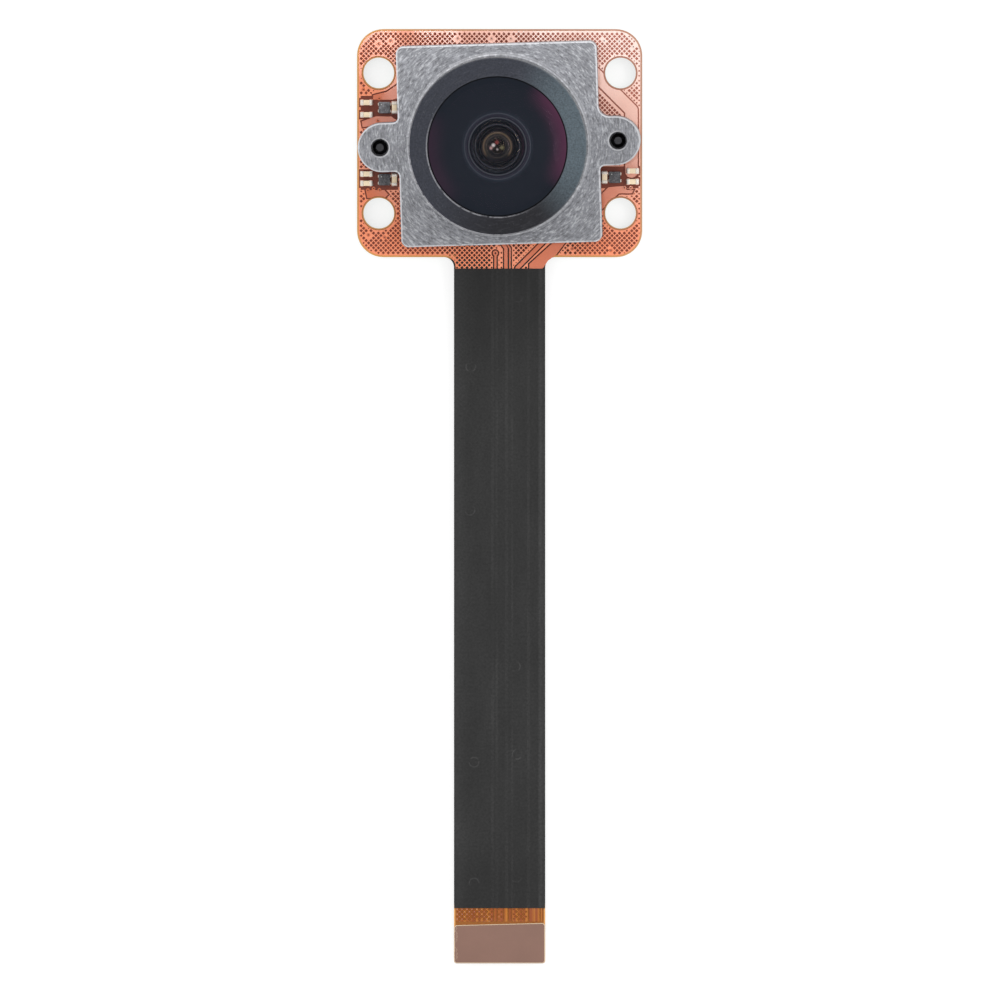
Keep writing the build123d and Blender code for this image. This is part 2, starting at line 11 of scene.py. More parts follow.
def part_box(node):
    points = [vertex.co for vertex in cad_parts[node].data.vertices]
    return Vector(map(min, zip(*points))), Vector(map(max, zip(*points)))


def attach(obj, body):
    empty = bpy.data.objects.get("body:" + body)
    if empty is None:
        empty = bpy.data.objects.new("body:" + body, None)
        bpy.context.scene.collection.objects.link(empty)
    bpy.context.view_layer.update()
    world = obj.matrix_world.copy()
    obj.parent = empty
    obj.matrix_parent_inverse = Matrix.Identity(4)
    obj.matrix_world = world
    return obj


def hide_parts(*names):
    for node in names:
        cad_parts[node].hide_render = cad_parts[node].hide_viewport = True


bl_info = {
    "name": "Camera module finish",
    "version": (1, 0, 0),
    "blender": (4, 5, 0),
    "location": "View3D > Sidebar > Camera module",
    "description": "Finishes a camera module: circuit, die casting, lens, small parts and stage",
    "category": "Object",
}

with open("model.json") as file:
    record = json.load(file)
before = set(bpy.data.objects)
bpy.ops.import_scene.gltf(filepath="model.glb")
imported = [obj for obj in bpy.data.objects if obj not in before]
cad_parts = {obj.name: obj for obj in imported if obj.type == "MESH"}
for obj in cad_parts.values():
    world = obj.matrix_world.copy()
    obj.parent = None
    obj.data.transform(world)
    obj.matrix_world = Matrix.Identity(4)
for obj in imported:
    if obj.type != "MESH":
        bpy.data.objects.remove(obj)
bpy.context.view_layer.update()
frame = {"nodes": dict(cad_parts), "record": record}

MM = 0.001
MERGE = 1e-7
nodes_of = frame["nodes"]


# Sizes and colours that a user would change

def length(name, description, millimetres):
    return FloatProperty(name=name, description=description, default=millimetres * MM, unit="LENGTH")


def colour(name, description, value):
    return FloatVectorProperty(
        name=name, description=description, default=value, size=3, min=0, max=1, subtype="COLOR"
    )


def level(name, description, value):
    return FloatProperty(name=name, description=description, default=value, min=0)


class CircuitSettings(bpy.types.PropertyGroup):
    hatch_pitch: length("Hatch pitch", "Distance between the lines of the cross-hatched copper", 0.305)
    opening_radius: length("Opening radius", "Half the diagonal of an opening in the hatch", 0.155)
    border: length("Border", "Plain copper left round the hatch", 0.03)
    relief_bevel: length("Relief bevel", "Rounding of the edges of the traces", 0.022)
    via_radius: length("Via radius", "Outer radius of a plated via", 0.17)
    via_hole: length("Via hole", "Radius of the hole in a plated via", 0.06)
    copper: colour("Copper", "Hatched copper under its amber film", (0.94, 0.29, 0.14))
    copper_plain: colour("Copper, plain", "Wide runs and fields of copper", (0.69, 0.17, 0.072))
    # Painted highlight: copper painted lighter and pinker towards the far right corner, where it mirrors the
    # light
    copper_painted_highlight: colour("Copper, far end", "Pinker copper at the far right corner", (1.0, 0.66, 0.56))
    # Painted glints: bright spots painted where the lines of the hatch cross
    painted_glint: colour("Glints", "Bright spots where the lines of the hatch cross", (1.0, 0.86, 0.80))
    opening: colour("Openings", "Film seen between the copper lines", (0.20, 0.044, 0.024))
    opening_deep: colour("Openings, middle", "Darker film above the tail", (0.085, 0.018, 0.008))
    film_rim: colour("Film rim", "Bare amber film along its edges", (0.62, 0.30, 0.085))
    laminate: colour("Laminate", "Glass-cloth plate behind the head", (0.16, 0.30, 0.18))


class TailSettings(bpy.types.PropertyGroup):
    shield: colour("Shield film", "Black shielding film", (0.0185, 0.0185, 0.0185))
    stiffener: colour("End stiffener", "Film stiffener on the end of the tail", (0.212, 0.114, 0.085))
    stiffener_rim: colour("Stiffener rim", "Light edge of the stiffener", (0.64, 0.50, 0.35))
    gold: colour("Contacts", "Gold plate of the contacts", (0.83, 0.62, 0.25))
    tilt: length("Stiffener tilt", "How much lower the stiffener's left corner lies", 0.2)


class HolderSettings(bpy.types.PropertyGroup):
    casting: colour("Casting", "Blasted die casting", (0.318, 0.324, 0.35))
    # The bright colour serves the strokes and the painted highlight on the bevels
    bright: colour("Strokes", "Bright strokes and edges of the casting", (0.72, 0.73, 0.76))
    dark: colour("Pits", "Dark pits of the casting", (0.12, 0.12, 0.13))
    screw: colour("Screws", "Dark plated screws", (0.05, 0.05, 0.055))


class LensSettings(bpy.types.PropertyGroup):
    steps: IntProperty(name="Steps", description="Faces round a turned piece", default=144, min=24, max=256)
    black: colour("Black finish", "Black anodised metal", (0.009, 0.009, 0.013))
    front_tint: colour("Front coating", "Colour that the front glass still reflects", (0.035, 0.014, 0.026))
    inner_tint: colour("Inner coating", "Colour that the inner glass still reflects", (0.13, 0.085, 0.055))
    # Painted sheen, given off as emission near the rim of the front glass
    sheen: colour("Coating sheen", "Glow of the coating near the rim of the glass", (0.080, 0.029, 0.058))
    # Painted glow, given off as emission over the rest of the front glass
    depth: colour("Painted coating glow", "Dark blue coating on the rest of the glass", (0.0135, 0.0165, 0.0235))
    opening_radius: length("Cap opening", "Radius of the opening in the front cap ring", 6.16)
    skirt_radius: length("Skirt radius", "Inner radius of the cap ring's skirt", 7.15)
    clear_rear: length("Rear hollow radius", "Radius of the hollow behind the front glass", 2.9)
    centre_thickness: length("Centre thickness", "Thickness of the front glass on the axis", 1.08)
    flange: length("Flange", "Thickness of the front glass at its rim", 1.4)


class PartSettings(bpy.types.PropertyGroup):
    ceramic: colour("Ceramic", "Body of a chip capacitor", (0.95, 0.77, 0.53))
    tin: colour("Tin", "Tinned ends and solder", (0.86, 0.79, 0.70))
    chip: colour("Chip", "Moulded body of a regulator", (0.10, 0.10, 0.108))


class StageSettings(bpy.types.PropertyGroup):
    view_width: length("View width", "Width of the camera's view", 87.7)
    sky: level("Sky light", "Level of the even light from all sides", 1.2)
    sky_mirrored: level("Mirrored sky", "Level of the sky in reflections", 0.65)
    floor_glow: level("Floor glow", "Light that the paper floor gives off by itself", 0.70)
    key_power: level("Key power", "Power of the low soft lamp on the right", 0.14)
    front_power: level("Front power", "Power of the small lamp near the axis", 0.05)
    fill_power: level("Fill power", "Power of the soft lamp at the back", 0.10)


# Colours that belong to one finish only

WINDOW_COPPER = (0.30, 0.062, 0.005)
WINDOW_STREAKS = (0.46, 0.15, 0.010)
WINDOW_FILM = (0.23, 0.066, 0.006)
WINDOW_FILM_END = (0.27, 0.09, 0.012)
RIM_RIGHT = (0.46, 0.23, 0.15)
FILM_CORNER_PAINTED_LIGHT = (0.40, 0.13, 0.09)
COVERED_FILM = (0.020, 0.018, 0.017)
# Painted light on the black rings: upper side, right side and lower-left bevels
RING_UPPER_PAINTED_LIGHT = (0.025, 0.028, 0.040)
RING_RIGHT_PAINTED_HIGHLIGHT = (0.064, 0.087, 0.104)
RING_STROKES = (0.3, 0.3, 0.32)
RING_SPECKS = (0.16, 0.17, 0.19)
RING_BEVEL_PAINTED_HIGHLIGHT = (0.4, 0.4, 0.43)
CLEAR_GLASS = (0.93, 0.95, 0.96)
SMEARED_GLASS = (0.88, 0.92, 0.94)
# Painted glow given off by the middle of the front glass
GLASS_CENTRE_PAINTED_GLOW = (0.004, 0.005, 0.007)
PAPER = (0.34, 0.34, 0.34)
WHITE = (1, 1, 1)

# Places in millimetres, from the middle of the head

HEAD_CORNER = 2.2
TAIL_ROOT = -9.6
TAIL_HALF = 3.9
UNDER_SHIELD = (-40.0, -50.0)
WINDOW_TOP = -66.6

via_places = (
    (-3.67, 9.20), (-0.70, 9.20), (0.99, 9.19), (-9.55, 8.99), (-10.60, 8.70), (-11.95, 4.71), (-10.56, 3.92),
    (-10.67, 2.00), (9.18, 8.97), (10.51, 8.94), (11.73, 8.46), (-11.55, -4.12), (-11.05, -3.97),
    (-10.54, -4.09), (-11.52, -8.05), (-10.10, -8.25), (10.95, -3.91), (11.51, -3.91), (6.36, -9.27),
    (9.76, -9.41),
)
# Vias and traces that show through the black film: centres, and lines along the tail with their half width
covered_vias = (
    (1.6, -13.5), (-2.53, -19.6), (-2.6, -32.2), (1.38, -45.9), (1.54, -53.6), (-2.24, -54.3),
    (1.46, -64.4), (-2.24, -64.9),
)
covered_traces = ((-0.62, 0.09), (-0.25, 0.08), (0.61, 0.10), (1.09, 0.06), (2.52, 0.10), (3.54, 0.12))
# Painted reflections that glow in the front glass, rings and spots: centre, radius, width, colour, and whether
# only the upper part shows
mirrored_marks = (
    ((0, 0), 2.71, 0.07, (0.040, 0.042, 0.050), False),
    ((0, 0), 2.56, 0.20, (0.012, 0.009, 0.014), False),
    ((0, 0), 2.38, 0.09, (0.058, 0.060, 0.070), False),
    ((0, 0), 1.86, 0.10, (0.030, 0.030, 0.038), False),
    ((0, 0), 1.17, 0.14, (0.105, 0.072, 0.045), True),
    ((0, 0), 0.95, 0.08, (0.045, 0.040, 0.034), False),
    ((-0.34, 0.12), 0, 0.24, (0.62, 0.54, 0.54), False),
    ((-0.54, -0.12), 0, 0.22, (0.42, 0.24, 0.24), False),
    ((-0.04, 0.36), 0, 0.26, (0.20, 0.030, 0.030), False),
    ((0.40, -0.08), 0, 0.30, (0.11, 0.10, 0.050), False),
    ((0.0, -0.24), 0, 0.15, (0.30, 0.26, 0.26), False),
)
# Bubbles along the stiffener's left edge: share of its length, and radius
bubbles = (
    (0.86, 0.1125), (0.74, 0.1375), (0.66, 0.15), (0.57, 0.125), (0.34, 0.125), (0.24, 0.15), (0.15, 0.1375),
)


# Modelling by hand, step by step

def start_clean():
    if bpy.context.mode != "OBJECT":
        bpy.ops.object.mode_set(mode="OBJECT")
    bpy.ops.object.select_all(action="DESELECT")


def make_active(piece):
    start_clean()
    piece.select_set(True)
    bpy.context.view_layer.objects.active = piece


def leave_edit():
    bpy.ops.object.mode_set(mode="OBJECT")


def settle():
    """Takes the active piece's place and size into its mesh."""
    bpy.ops.object.transform_apply(location=True, rotation=True, scale=True)


def dress(piece, *materials):
    piece.data.materials.clear()
    for name in materials:
        piece.data.materials.append(bpy.data.materials[name])


def edit(piece, elements="VERT", select="SELECT"):
    make_active(piece)
    bpy.ops.object.mode_set(mode="EDIT")
    bpy.ops.mesh.select_mode(type=elements)
    bpy.ops.mesh.select_all(action=select)


def select_where(piece, kind, test):
    """Selects the vertices, edges or faces of the piece in edit mode that pass the test."""
    mesh = bmesh.from_edit_mesh(piece.data)
    for element in getattr(mesh, kind):
        element.select_set(test(element))
    mesh.select_flush_mode()
    bmesh.update_edit_mesh(piece.data)


def middle_of(element):
    points = [vertex.co for vertex in element.verts]
    return sum(points, Vector()) / len(points)


def apply_modifier(piece, kind, **settings):
    make_active(piece)
    bpy.ops.object.modifier_add(type=kind)
    modifier = piece.modifiers[-1]
    for name, value in settings.items():
        setattr(modifier, name, value)
    bpy.ops.object.modifier_apply(modifier=modifier.name)


def add_box(low, high, material):
    start_clean()
    centre = [(a + b) / 2 for a, b in zip(low, high)]
    bpy.ops.mesh.primitive_cube_add(size=1, location=centre)
    piece = bpy.context.object
    piece.dimensions = [b - a for a, b in zip(low, high)]
    settle()
    dress(piece, material)
    return piece


def bevel_where(piece, test, width, segments):
    """Rounds the edges whose middle passes the test."""
    edit(piece, "EDGE", "DESELECT")
    select_where(piece, "edges", lambda edge: test(middle_of(edge)))
    bpy.ops.mesh.bevel(offset=width, segments=segments, profile=0.5, clamp_overlap=True)
    leave_edit()


def turned(profile, steps, *materials):
    """A single point is drawn out along the profile of (radius, height) pairs and spun round the axis."""
    start_clean()
    bpy.ops.mesh.primitive_plane_add(size=MM)
    piece = bpy.context.object
    edit(piece)
    bpy.ops.mesh.merge(type="CENTER")
    first_radius, first_height = profile[0]
    bpy.ops.transform.translate(value=(first_radius, 0, first_height))
    for (r0, z0), (r1, z1) in zip(profile, profile[1:]):
        bpy.ops.mesh.extrude_vertices_move(TRANSFORM_OT_translate={"value": (r1 - r0, 0, z1 - z0)})
    bpy.ops.mesh.select_all(action="SELECT")
    bpy.ops.mesh.spin(steps=steps, angle=2 * pi, center=(0, 0, 0), axis=(0, 0, 1))
    bpy.ops.mesh.select_all(action="SELECT")
    bpy.ops.mesh.remove_doubles(threshold=MERGE * 5)
    bpy.ops.mesh.normals_make_consistent(inside=False)
    leave_edit()
    dress(piece, *materials)
    return piece


def merged_copy(node):
    """An own copy of a node's mesh, with its loose triangles joined."""
    piece = bpy.data.objects.new("copy", nodes_of[node].data.copy())
    bpy.context.scene.collection.objects.link(piece)
    edit(piece)
    bpy.ops.mesh.customdata_custom_splitnormals_clear()
    bpy.ops.mesh.remove_doubles(threshold=MERGE)
    bpy.ops.mesh.dissolve_limited(angle_limit=radians(0.5))
    leave_edit()
    return piece


def joined(pieces):
    start_clean()
    for piece in pieces:
        piece.select_set(True)
    bpy.context.view_layer.objects.active = pieces[0]
    bpy.ops.object.join()
    return pieces[0]


def copy_at(piece, place):
    """A copy with its own mesh, moved by the matrix."""
    copy = bpy.data.objects.new(piece.name, piece.data.copy())
    copy.data.transform(place)
    bpy.context.scene.collection.objects.link(copy)
    return copy


def finish_piece(piece, name, replaces=(), angle=32):
    """Closes seams, turns faces outwards, smooths, names the piece, hangs it on the root body and hides the
    parts it replaces.
    """
    make_active(piece)
    settle()
    edit(piece)
    bpy.ops.mesh.remove_doubles(threshold=MERGE)
    bpy.ops.mesh.normals_make_consistent(inside=False)
    leave_edit()
    bpy.ops.object.shade_smooth_by_angle(angle=radians(angle))
    piece.name = name
    piece.data.name = name
    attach(piece, "root")
    if replaces:
        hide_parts(*replaces)
    start_clean()


def remove(piece):
    bpy.data.objects.remove(piece)


def top_of(node):
    """A test that says whether the node is right below a point, seen from above."""
    mesh = nodes_of[node].data
    tree = BVHTree.FromPolygons([v.co for v in mesh.vertices], [p.vertices for p in mesh.polygons])
    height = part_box(node)[1].z + MM

    def below(x, y):
        return tree.ray_cast(Vector((x, y, height)), Vector((0, 0, -1)))[0] is not None

    return below


# Materials

class Tree:
    """Adds nodes to a node tree and links them."""

    def __init__(self, tree):
        self.tree = tree

    def put(self, socket, value):
        if isinstance(value, bpy.types.NodeSocket):
            self.tree.links.new(value, socket)
        elif socket.type == "RGBA" and len(value) == 3:
            socket.default_value = (*value, 1)
        else:
            socket.default_value = value

    def add(self, kind, inputs=None, **settings):
        node = self.tree.nodes.new(kind)
        for name, value in settings.items():
            setattr(node, name, value)
        for socket, value in (inputs or {}).items():
            self.put(node.inputs[socket], value)
        return node

    def math(self, operation, *values):
        return self.add("ShaderNodeMath", dict(enumerate(values)), operation=operation).outputs[0]

    def times(self, first, *others):
        """The product of the values."""
        for other in others:
            first = self.math("MULTIPLY", first, other)
        return first

    def larger(self, first, *others):
        """The largest of the values."""
        for other in others:
            first = self.math("MAXIMUM", first, other)
        return first

    def apart(self, a, b):
        return self.math("ABSOLUTE", self.math("SUBTRACT", a, b))

    def vector(self, operation, *values, output="Vector"):
        return self.add("ShaderNodeVectorMath", dict(enumerate(values)), operation=operation).outputs[output]

    def scaled(self, vector, factor):
        node = self.add("ShaderNodeVectorMath", {"Vector": vector, "Scale": factor}, operation="SCALE")
        return node.outputs[0]

    def split(self, vector):
        return self.add("ShaderNodeSeparateXYZ", {0: vector}).outputs

    def combine(self, x=0.0, y=0.0, z=0.0):
        return self.add("ShaderNodeCombineXYZ", {0: x, 1: y, 2: z}).outputs[0]

    def radius(self, x, y):
        """The length of the way that x and y make together."""
        return self.vector("LENGTH", self.combine(x, y), output="Value")

    def mix(self, factor, a, b):
        return self.add("ShaderNodeMix", {0: factor, 6: a, 7: b}, data_type="RGBA").outputs[2]

    def tone(self, shade, *factors):
        """The colour made lighter or darker by each of the factors."""
        for factor in factors:
            grey = self.combine(factor, factor, factor)
            inputs = {0: 1.0, 6: shade, 7: grey}
            shade = self.add("ShaderNodeMix", inputs, data_type="RGBA", blend_type="MULTIPLY").outputs[2]
        return shade

    def between(self, value, low, high, start=0.0, end=1.0):
        """The value's way from low to high, drawn out from start to end."""
        node = self.add("ShaderNodeMapRange", {0: value, 1: low, 2: high, 3: start, 4: end})
        node.interpolation_type = "SMOOTHSTEP"
        return node.outputs[0]

    def noise(self, vector, scale, detail=2.0, roughness=0.5):
        return self.add(
            "ShaderNodeTexNoise", {"Vector": vector, "Scale": scale, "Detail": detail, "Roughness": roughness}
        ).outputs["Fac"]

    def bump(self, height, depth, normal=None):
        """A relief whose depth is given in millimetres."""
        node = self.add("ShaderNodeBump", {"Height": height, "Distance": depth * MM})
        if normal:
            self.put(node.inputs["Normal"], normal)
        return node.outputs[0]

    def true_normal(self):
        return self.add("ShaderNodeNewGeometry").outputs["True Normal"]

    def group(self, name, inputs):
        node = self.add("ShaderNodeGroup", node_tree=bpy.data.node_groups[name])
        for socket, value in inputs.items():
            self.put(node.inputs[socket], value)
        return node.outputs

    def grain(self, place, scale, contrast):
        return self.group("Fine grain", {"Vector": place, "Scale": scale, "Contrast": contrast})

    def ring(self, place, centre, radius, width):
        """A ring on the circuit or the lens, or a spot where its radius is nothing."""
        return self.group("Ring mark", {
            "Vector": place, "Centre": (*centre, 0), "Radius": radius, "Width": width,
        })["Mask"]


def effect(name, build, inputs, outputs, kind="Float"):
    """A node group with a Vector input and named sockets. An input is a number's default or its kind."""
    tree = bpy.data.node_groups.new(name, "ShaderNodeTree")
    add_socket = tree.interface.new_socket
    add_socket("Vector", in_out="INPUT", socket_type="NodeSocketVector")
    for socket_name, value in inputs.items():
        if isinstance(value, str):
            add_socket(socket_name, in_out="INPUT", socket_type=f"NodeSocket{value}")
        else:
            add_socket(socket_name, in_out="INPUT", socket_type="NodeSocketFloat").default_value = value
    for socket_name in outputs:
        add_socket(socket_name, in_out="OUTPUT", socket_type=f"NodeSocket{kind}")
    entry = tree.nodes.new("NodeGroupInput").outputs
    leave = tree.nodes.new("NodeGroupOutput").inputs
    build(Tree(tree), entry, leave)


def fine_grain(tree, entry, leave):
    height = tree.noise(entry["Vector"], entry["Scale"], 4.0, 0.6)
    swing = tree.times(tree.math("SUBTRACT", height, 0.5), entry["Contrast"])
    tree.put(leave["Tone"], tree.math("MULTIPLY_ADD", swing, 2.0, 1.0))
    tree.put(leave["Height"], height)


def round_strokes(tree, entry, leave):
    """Short strokes that run round the axis, without a seam."""
    x, y, z = tree.split(entry["Vector"])
    flat = tree.combine(x, y)
    radius = tree.vector("LENGTH", flat, output="Value")
    around = tree.split(tree.scaled(tree.vector("NORMALIZE", flat), entry["Around"]))
    across = tree.times(tree.math("ADD", radius, z), entry["Across"])
    strokes = tree.noise(tree.combine(around[0], around[1], across), 1.0, 3.0, 0.62)
    tree.put(leave["Bright"], tree.between(strokes, 0.53, 0.66))
    tree.put(leave["Dark"], tree.between(strokes, 0.47, 0.33))
    tree.put(leave["Height"], strokes)


def diamond_lattice(tree, entry, leave):
    x, y = tree.split(entry["Vector"])[:2]
    step = tree.times(entry["Pitch"], sqrt(2))
    slants = [
        tree.math("PINGPONG", tree.math("DIVIDE", tree.math("MULTIPLY_ADD", y, side, x), step), 0.5)
        for side in (1.0, -1.0)
    ]
    tree.put(leave["Lines"], tree.between(tree.math("MINIMUM", *slants), entry["Line"], 0.0))


def hatch_crossings(tree, entry, leave):
    """Spots halfway between the openings of the hatch, where the copper gets painted glints."""
    offset = tree.vector("SUBTRACT", entry["Vector"], entry["Origin"])
    x, y = tree.split(tree.scaled(offset, tree.math("DIVIDE", 2 * pi, entry["Step"])))[:2]
    wave = tree.times(tree.math("COSINE", x), tree.math("COSINE", y))
    tree.put(leave["Mask"], tree.between(wave, -0.45, -0.95))


def ring_mark(tree, entry, leave):
    x, y = tree.split(tree.vector("SUBTRACT", entry["Vector"], entry["Centre"]))[:2]
    off = tree.apart(tree.radius(x, y), entry["Radius"])
    tree.put(leave["Mask"], tree.between(off, entry["Width"], 0.0))


def painted_bevel_highlight(tree, entry, leave):
    """A mask for a painted highlight: slanted faces, such as bevels, whose normal leans away from the axis,
    broken up a little.
    """
    lean = tree.math("ABSOLUTE", tree.split(entry["Normal"])[2])
    slanted = tree.times(tree.between(lean, 0.97, 0.9), tree.between(lean, 0.15, 0.4))
    broken = tree.between(tree.noise(entry["Vector"], 3.0, 3.0), 0.25, 0.5)
    tree.put(leave["Mask"], tree.times(slanted, broken))


def painted_coating_sheen(tree, entry, leave):
    """A painted sheen: a glow towards the rim that is strongest to one side, and a fainter one on the other.
    """
    x, y = tree.split(entry["Vector"])[:2]
    radius = tree.radius(x, y)
    way = tree.math("DIVIDE", tree.math("MULTIPLY_ADD", y, 0.22, x), tree.larger(radius, 0.1))
    near = tree.between(way, 0.62, 0.95)
    far = tree.times(tree.between(way, -0.7, -1.0), entry["Far side"])
    rim = tree.math("POWER", tree.between(radius, entry["Start"], entry["Rim"]), 1.6)
    sheen = tree.mix(tree.times(tree.math("ADD", near, far), rim), entry["Depth"], entry["Sheen"])
    outside = tree.between(radius, tree.math("ADD", entry["Rim"], 0.3), entry["Rim"])
    tree.put(leave["Color"], tree.tone(sheen, outside))


def make_effects():
    effect("Fine grain", fine_grain, {"Scale": 10.0, "Contrast": 0.1}, ("Tone", "Height"))
    effect("Round strokes", round_strokes, {"Around": 12.0, "Across": 8.0}, ("Bright", "Dark", "Height"))
    effect("Diamond lattice", diamond_lattice, {"Pitch": 0.305, "Line": 0.2}, ("Lines",))
    effect("Hatch crossings", hatch_crossings, {"Origin": "Vector", "Step": 0.431}, ("Mask",))
    effect("Ring mark", ring_mark, {"Centre": "Vector", "Radius": 1.0, "Width": 0.1}, ("Mask",))
    effect("Worn edge", painted_bevel_highlight, {"Normal": "Vector"}, ("Mask",))
    sheen = {"Start": 3.0, "Rim": 6.0, "Far side": 0.30, "Sheen": "Color", "Depth": "Color"}
    effect("Coating sheen", painted_coating_sheen, sheen, ("Color",), kind="Color")


def new_material(name, **constants):
    """A new material's tree, its shader's sockets and the place on the piece in millimetres.

    The material takes the place of the frame's plain one of the same name on every node.
    """
    plain = bpy.data.materials.get(name)
    made = bpy.data.materials.new(name)
    if plain:
        plain.user_remap(made)
        bpy.data.materials.remove(plain)
        made.name = name
    made.use_nodes = True
    made.node_tree.nodes.clear()
    tree = Tree(made.node_tree)
    shader = tree.add("ShaderNodeBsdfPrincipled")
    tree.add("ShaderNodeOutputMaterial", {"Surface": shader.outputs[0]})
    for socket, value in constants.items():
        tree.put(shader.inputs[socket.replace("_", " ")], value)
    place = tree.scaled(tree.add("ShaderNodeTexCoord").outputs["Object"], 1 / MM)
    return tree, shader.inputs, place


def grained(name, base, contrast, scale, depth, rough, **constants):
    """A plain finish whose tone, roughness and surface vary with its grain."""
    tree, shader, place = new_material(name, **constants)
    grain = tree.grain(place, scale, contrast)
    blotch = tree.grain(place, scale / 12, contrast * 0.6)
    tree.put(shader["Base Color"], tree.tone(base, grain["Tone"], blotch["Tone"]))
    tree.put(shader["Roughness"], tree.between(grain["Height"], 0.2, 0.8, rough - 0.08, rough + 0.08))
    tree.put(shader["Normal"], tree.bump(grain["Height"], depth))


def copper_finish(name, settings, near, glints):
    """Copper under its film, amber in the window of the tail, with a painted highlight that makes it pinker to
    the far right and painted glints where the lines of the hatch cross.
    """
    tree, shader, place = new_material(name, Metallic=0.35, Coat_Roughness=0.12)
    x, y = tree.split(place)[:2]
    grain = tree.grain(place, 9.0, 0.16)
    cloud = tree.noise(place, 0.35)
    slope = tree.math("MULTIPLY_ADD", x, 0.7, y)
    # Painted highlight: the copper turns pinker towards the far right corner, and towards the glint colour
    # next to it
    far = tree.between(tree.math("MULTIPLY_ADD", cloud, 6.0, slope), 2.0, 18.0)
    base = tree.mix(far, near, settings.copper_painted_highlight)
    base = tree.mix(tree.between(slope, 12.0, 17.0, 0.0, 0.6), base, settings.painted_glint)
    streaks = tree.between(tree.noise(tree.scaled(tree.combine(x), 2.4), 1.0, 1.0), 0.42, 0.62)
    amber = tree.mix(streaks, WINDOW_COPPER, WINDOW_STREAKS)
    base = tree.mix(tree.between(y, *UNDER_SHIELD), base, amber)
    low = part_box("ground_copper")[0] / MM
    step = settings.hatch_pitch * sqrt(2) / MM
    # Painted glints: light spots painted on the hatch crossings in patches, more of them along the back edge
    # and towards the far right
    crossing = tree.group("Hatch crossings", {"Vector": place, "Origin": low, "Step": step})["Mask"]
    patch = tree.between(tree.noise(place, 0.45), 0.42, 0.62)
    back_edge = tree.between(y, 8.6, 9.6, 0.0, 0.5)
    share_lit = tree.math("ADD", back_edge, tree.math("MULTIPLY_ADD", far, 1.1, 0.15))
    base = tree.mix(tree.times(crossing, patch, share_lit, glints), base, settings.painted_glint)
    tree.put(shader["Base Color"], tree.tone(base, grain["Tone"]))
    tree.put(shader["Roughness"], tree.between(grain["Height"], 0.3, 0.7, 0.32, 0.5))
    tree.put(shader["Coat Weight"], tree.between(tree.noise(place, 0.22, 1.0), 0.4, 0.6, 0.15, 0.7))
    tree.put(shader["Normal"], tree.bump(grain["Height"], 0.004, normal=tree.bump(cloud, 0.06)))


def film_finish(settings):
    """Dark film between the copper, amber along the outline and round the holes, with painted light towards
    the far right corner.
    """
    tree, shader, place = new_material("circuit_film", Roughness=0.4, Specular_IOR_Level=0.25)
    x, y, z = tree.split(place)
    aside = tree.math("ABSOLUTE", x)
    low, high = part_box("board_stiffener")
    half = (high - low) / 2 / MM
    reach = [
        tree.larger(tree.math("SUBTRACT", value, size - HEAD_CORNER), 0.0)
        for value, size in ((aside, half.x), (tree.math("ABSOLUTE", y), half.y))
    ]
    outline = tree.between(tree.radius(*reach), HEAD_CORNER - 0.07, HEAD_CORNER - 0.03)
    beside_tail = tree.larger(tree.between(y, TAIL_ROOT - 0.1, TAIL_ROOT), tree.between(aside, 4.4, 4.6))
    tail_edge = tree.times(
        tree.between(y, TAIL_ROOT, TAIL_ROOT - 0.5), tree.between(aside, TAIL_HALF - 0.04, TAIL_HALF)
    )
    underside = tree.between(z, 0.94, 0.93)
    rim = tree.larger(tree.times(outline, beside_tail), tail_edge, underside)
    mount = frame["record"]["mounts"][0]["dims"]
    for side_x in (-0.5, 0.5):
        for side_y in (-0.5, 0.5):
            centre = (side_x * mount["spacing_x_mm"], side_y * mount["spacing_y_mm"])
            rim = tree.larger(rim, tree.ring(place, centre, mount["hole_r_mm"], 0.2))
    diagonal = tree.math("ADD", x, y)
    amber = tree.mix(tree.between(diagonal, -6.0, 16.0), settings.film_rim, RIM_RIGHT)
    above_tail = tree.times(tree.between(tree.apart(x, 1.0), 7.0, 5.0), tree.between(y, -8.0, -9.0))
    film = tree.mix(above_tail, settings.opening, settings.opening_deep)
    # Painted light: the film turns lighter towards the far right corner, like the copper's painted highlight
    # there
    film = tree.mix(tree.between(diagonal, 9.0, 17.0), film, FILM_CORNER_PAINTED_LIGHT)
    window = tree.mix(tree.between(y, -68.0, -68.3), WINDOW_FILM, WINDOW_FILM_END)
    film = tree.mix(tree.between(y, WINDOW_TOP + 0.6, WINDOW_TOP - 0.2), film, window)
    covered = tree.times(tree.between(y, -9.9, -10.3), tree.between(y, WINDOW_TOP - 0.4, WINDOW_TOP))
    film = tree.mix(covered, film, COVERED_FILM)
    rim = tree.times(rim, tree.math("SUBTRACT", 1.0, covered))
    grain = tree.grain(place, 6.0, 0.25)
    tree.put(shader["Base Color"], tree.mix(rim, tree.tone(film, grain["Tone"]), amber))
    tree.put(shader["Normal"], tree.bump(grain["Height"], 0.003))


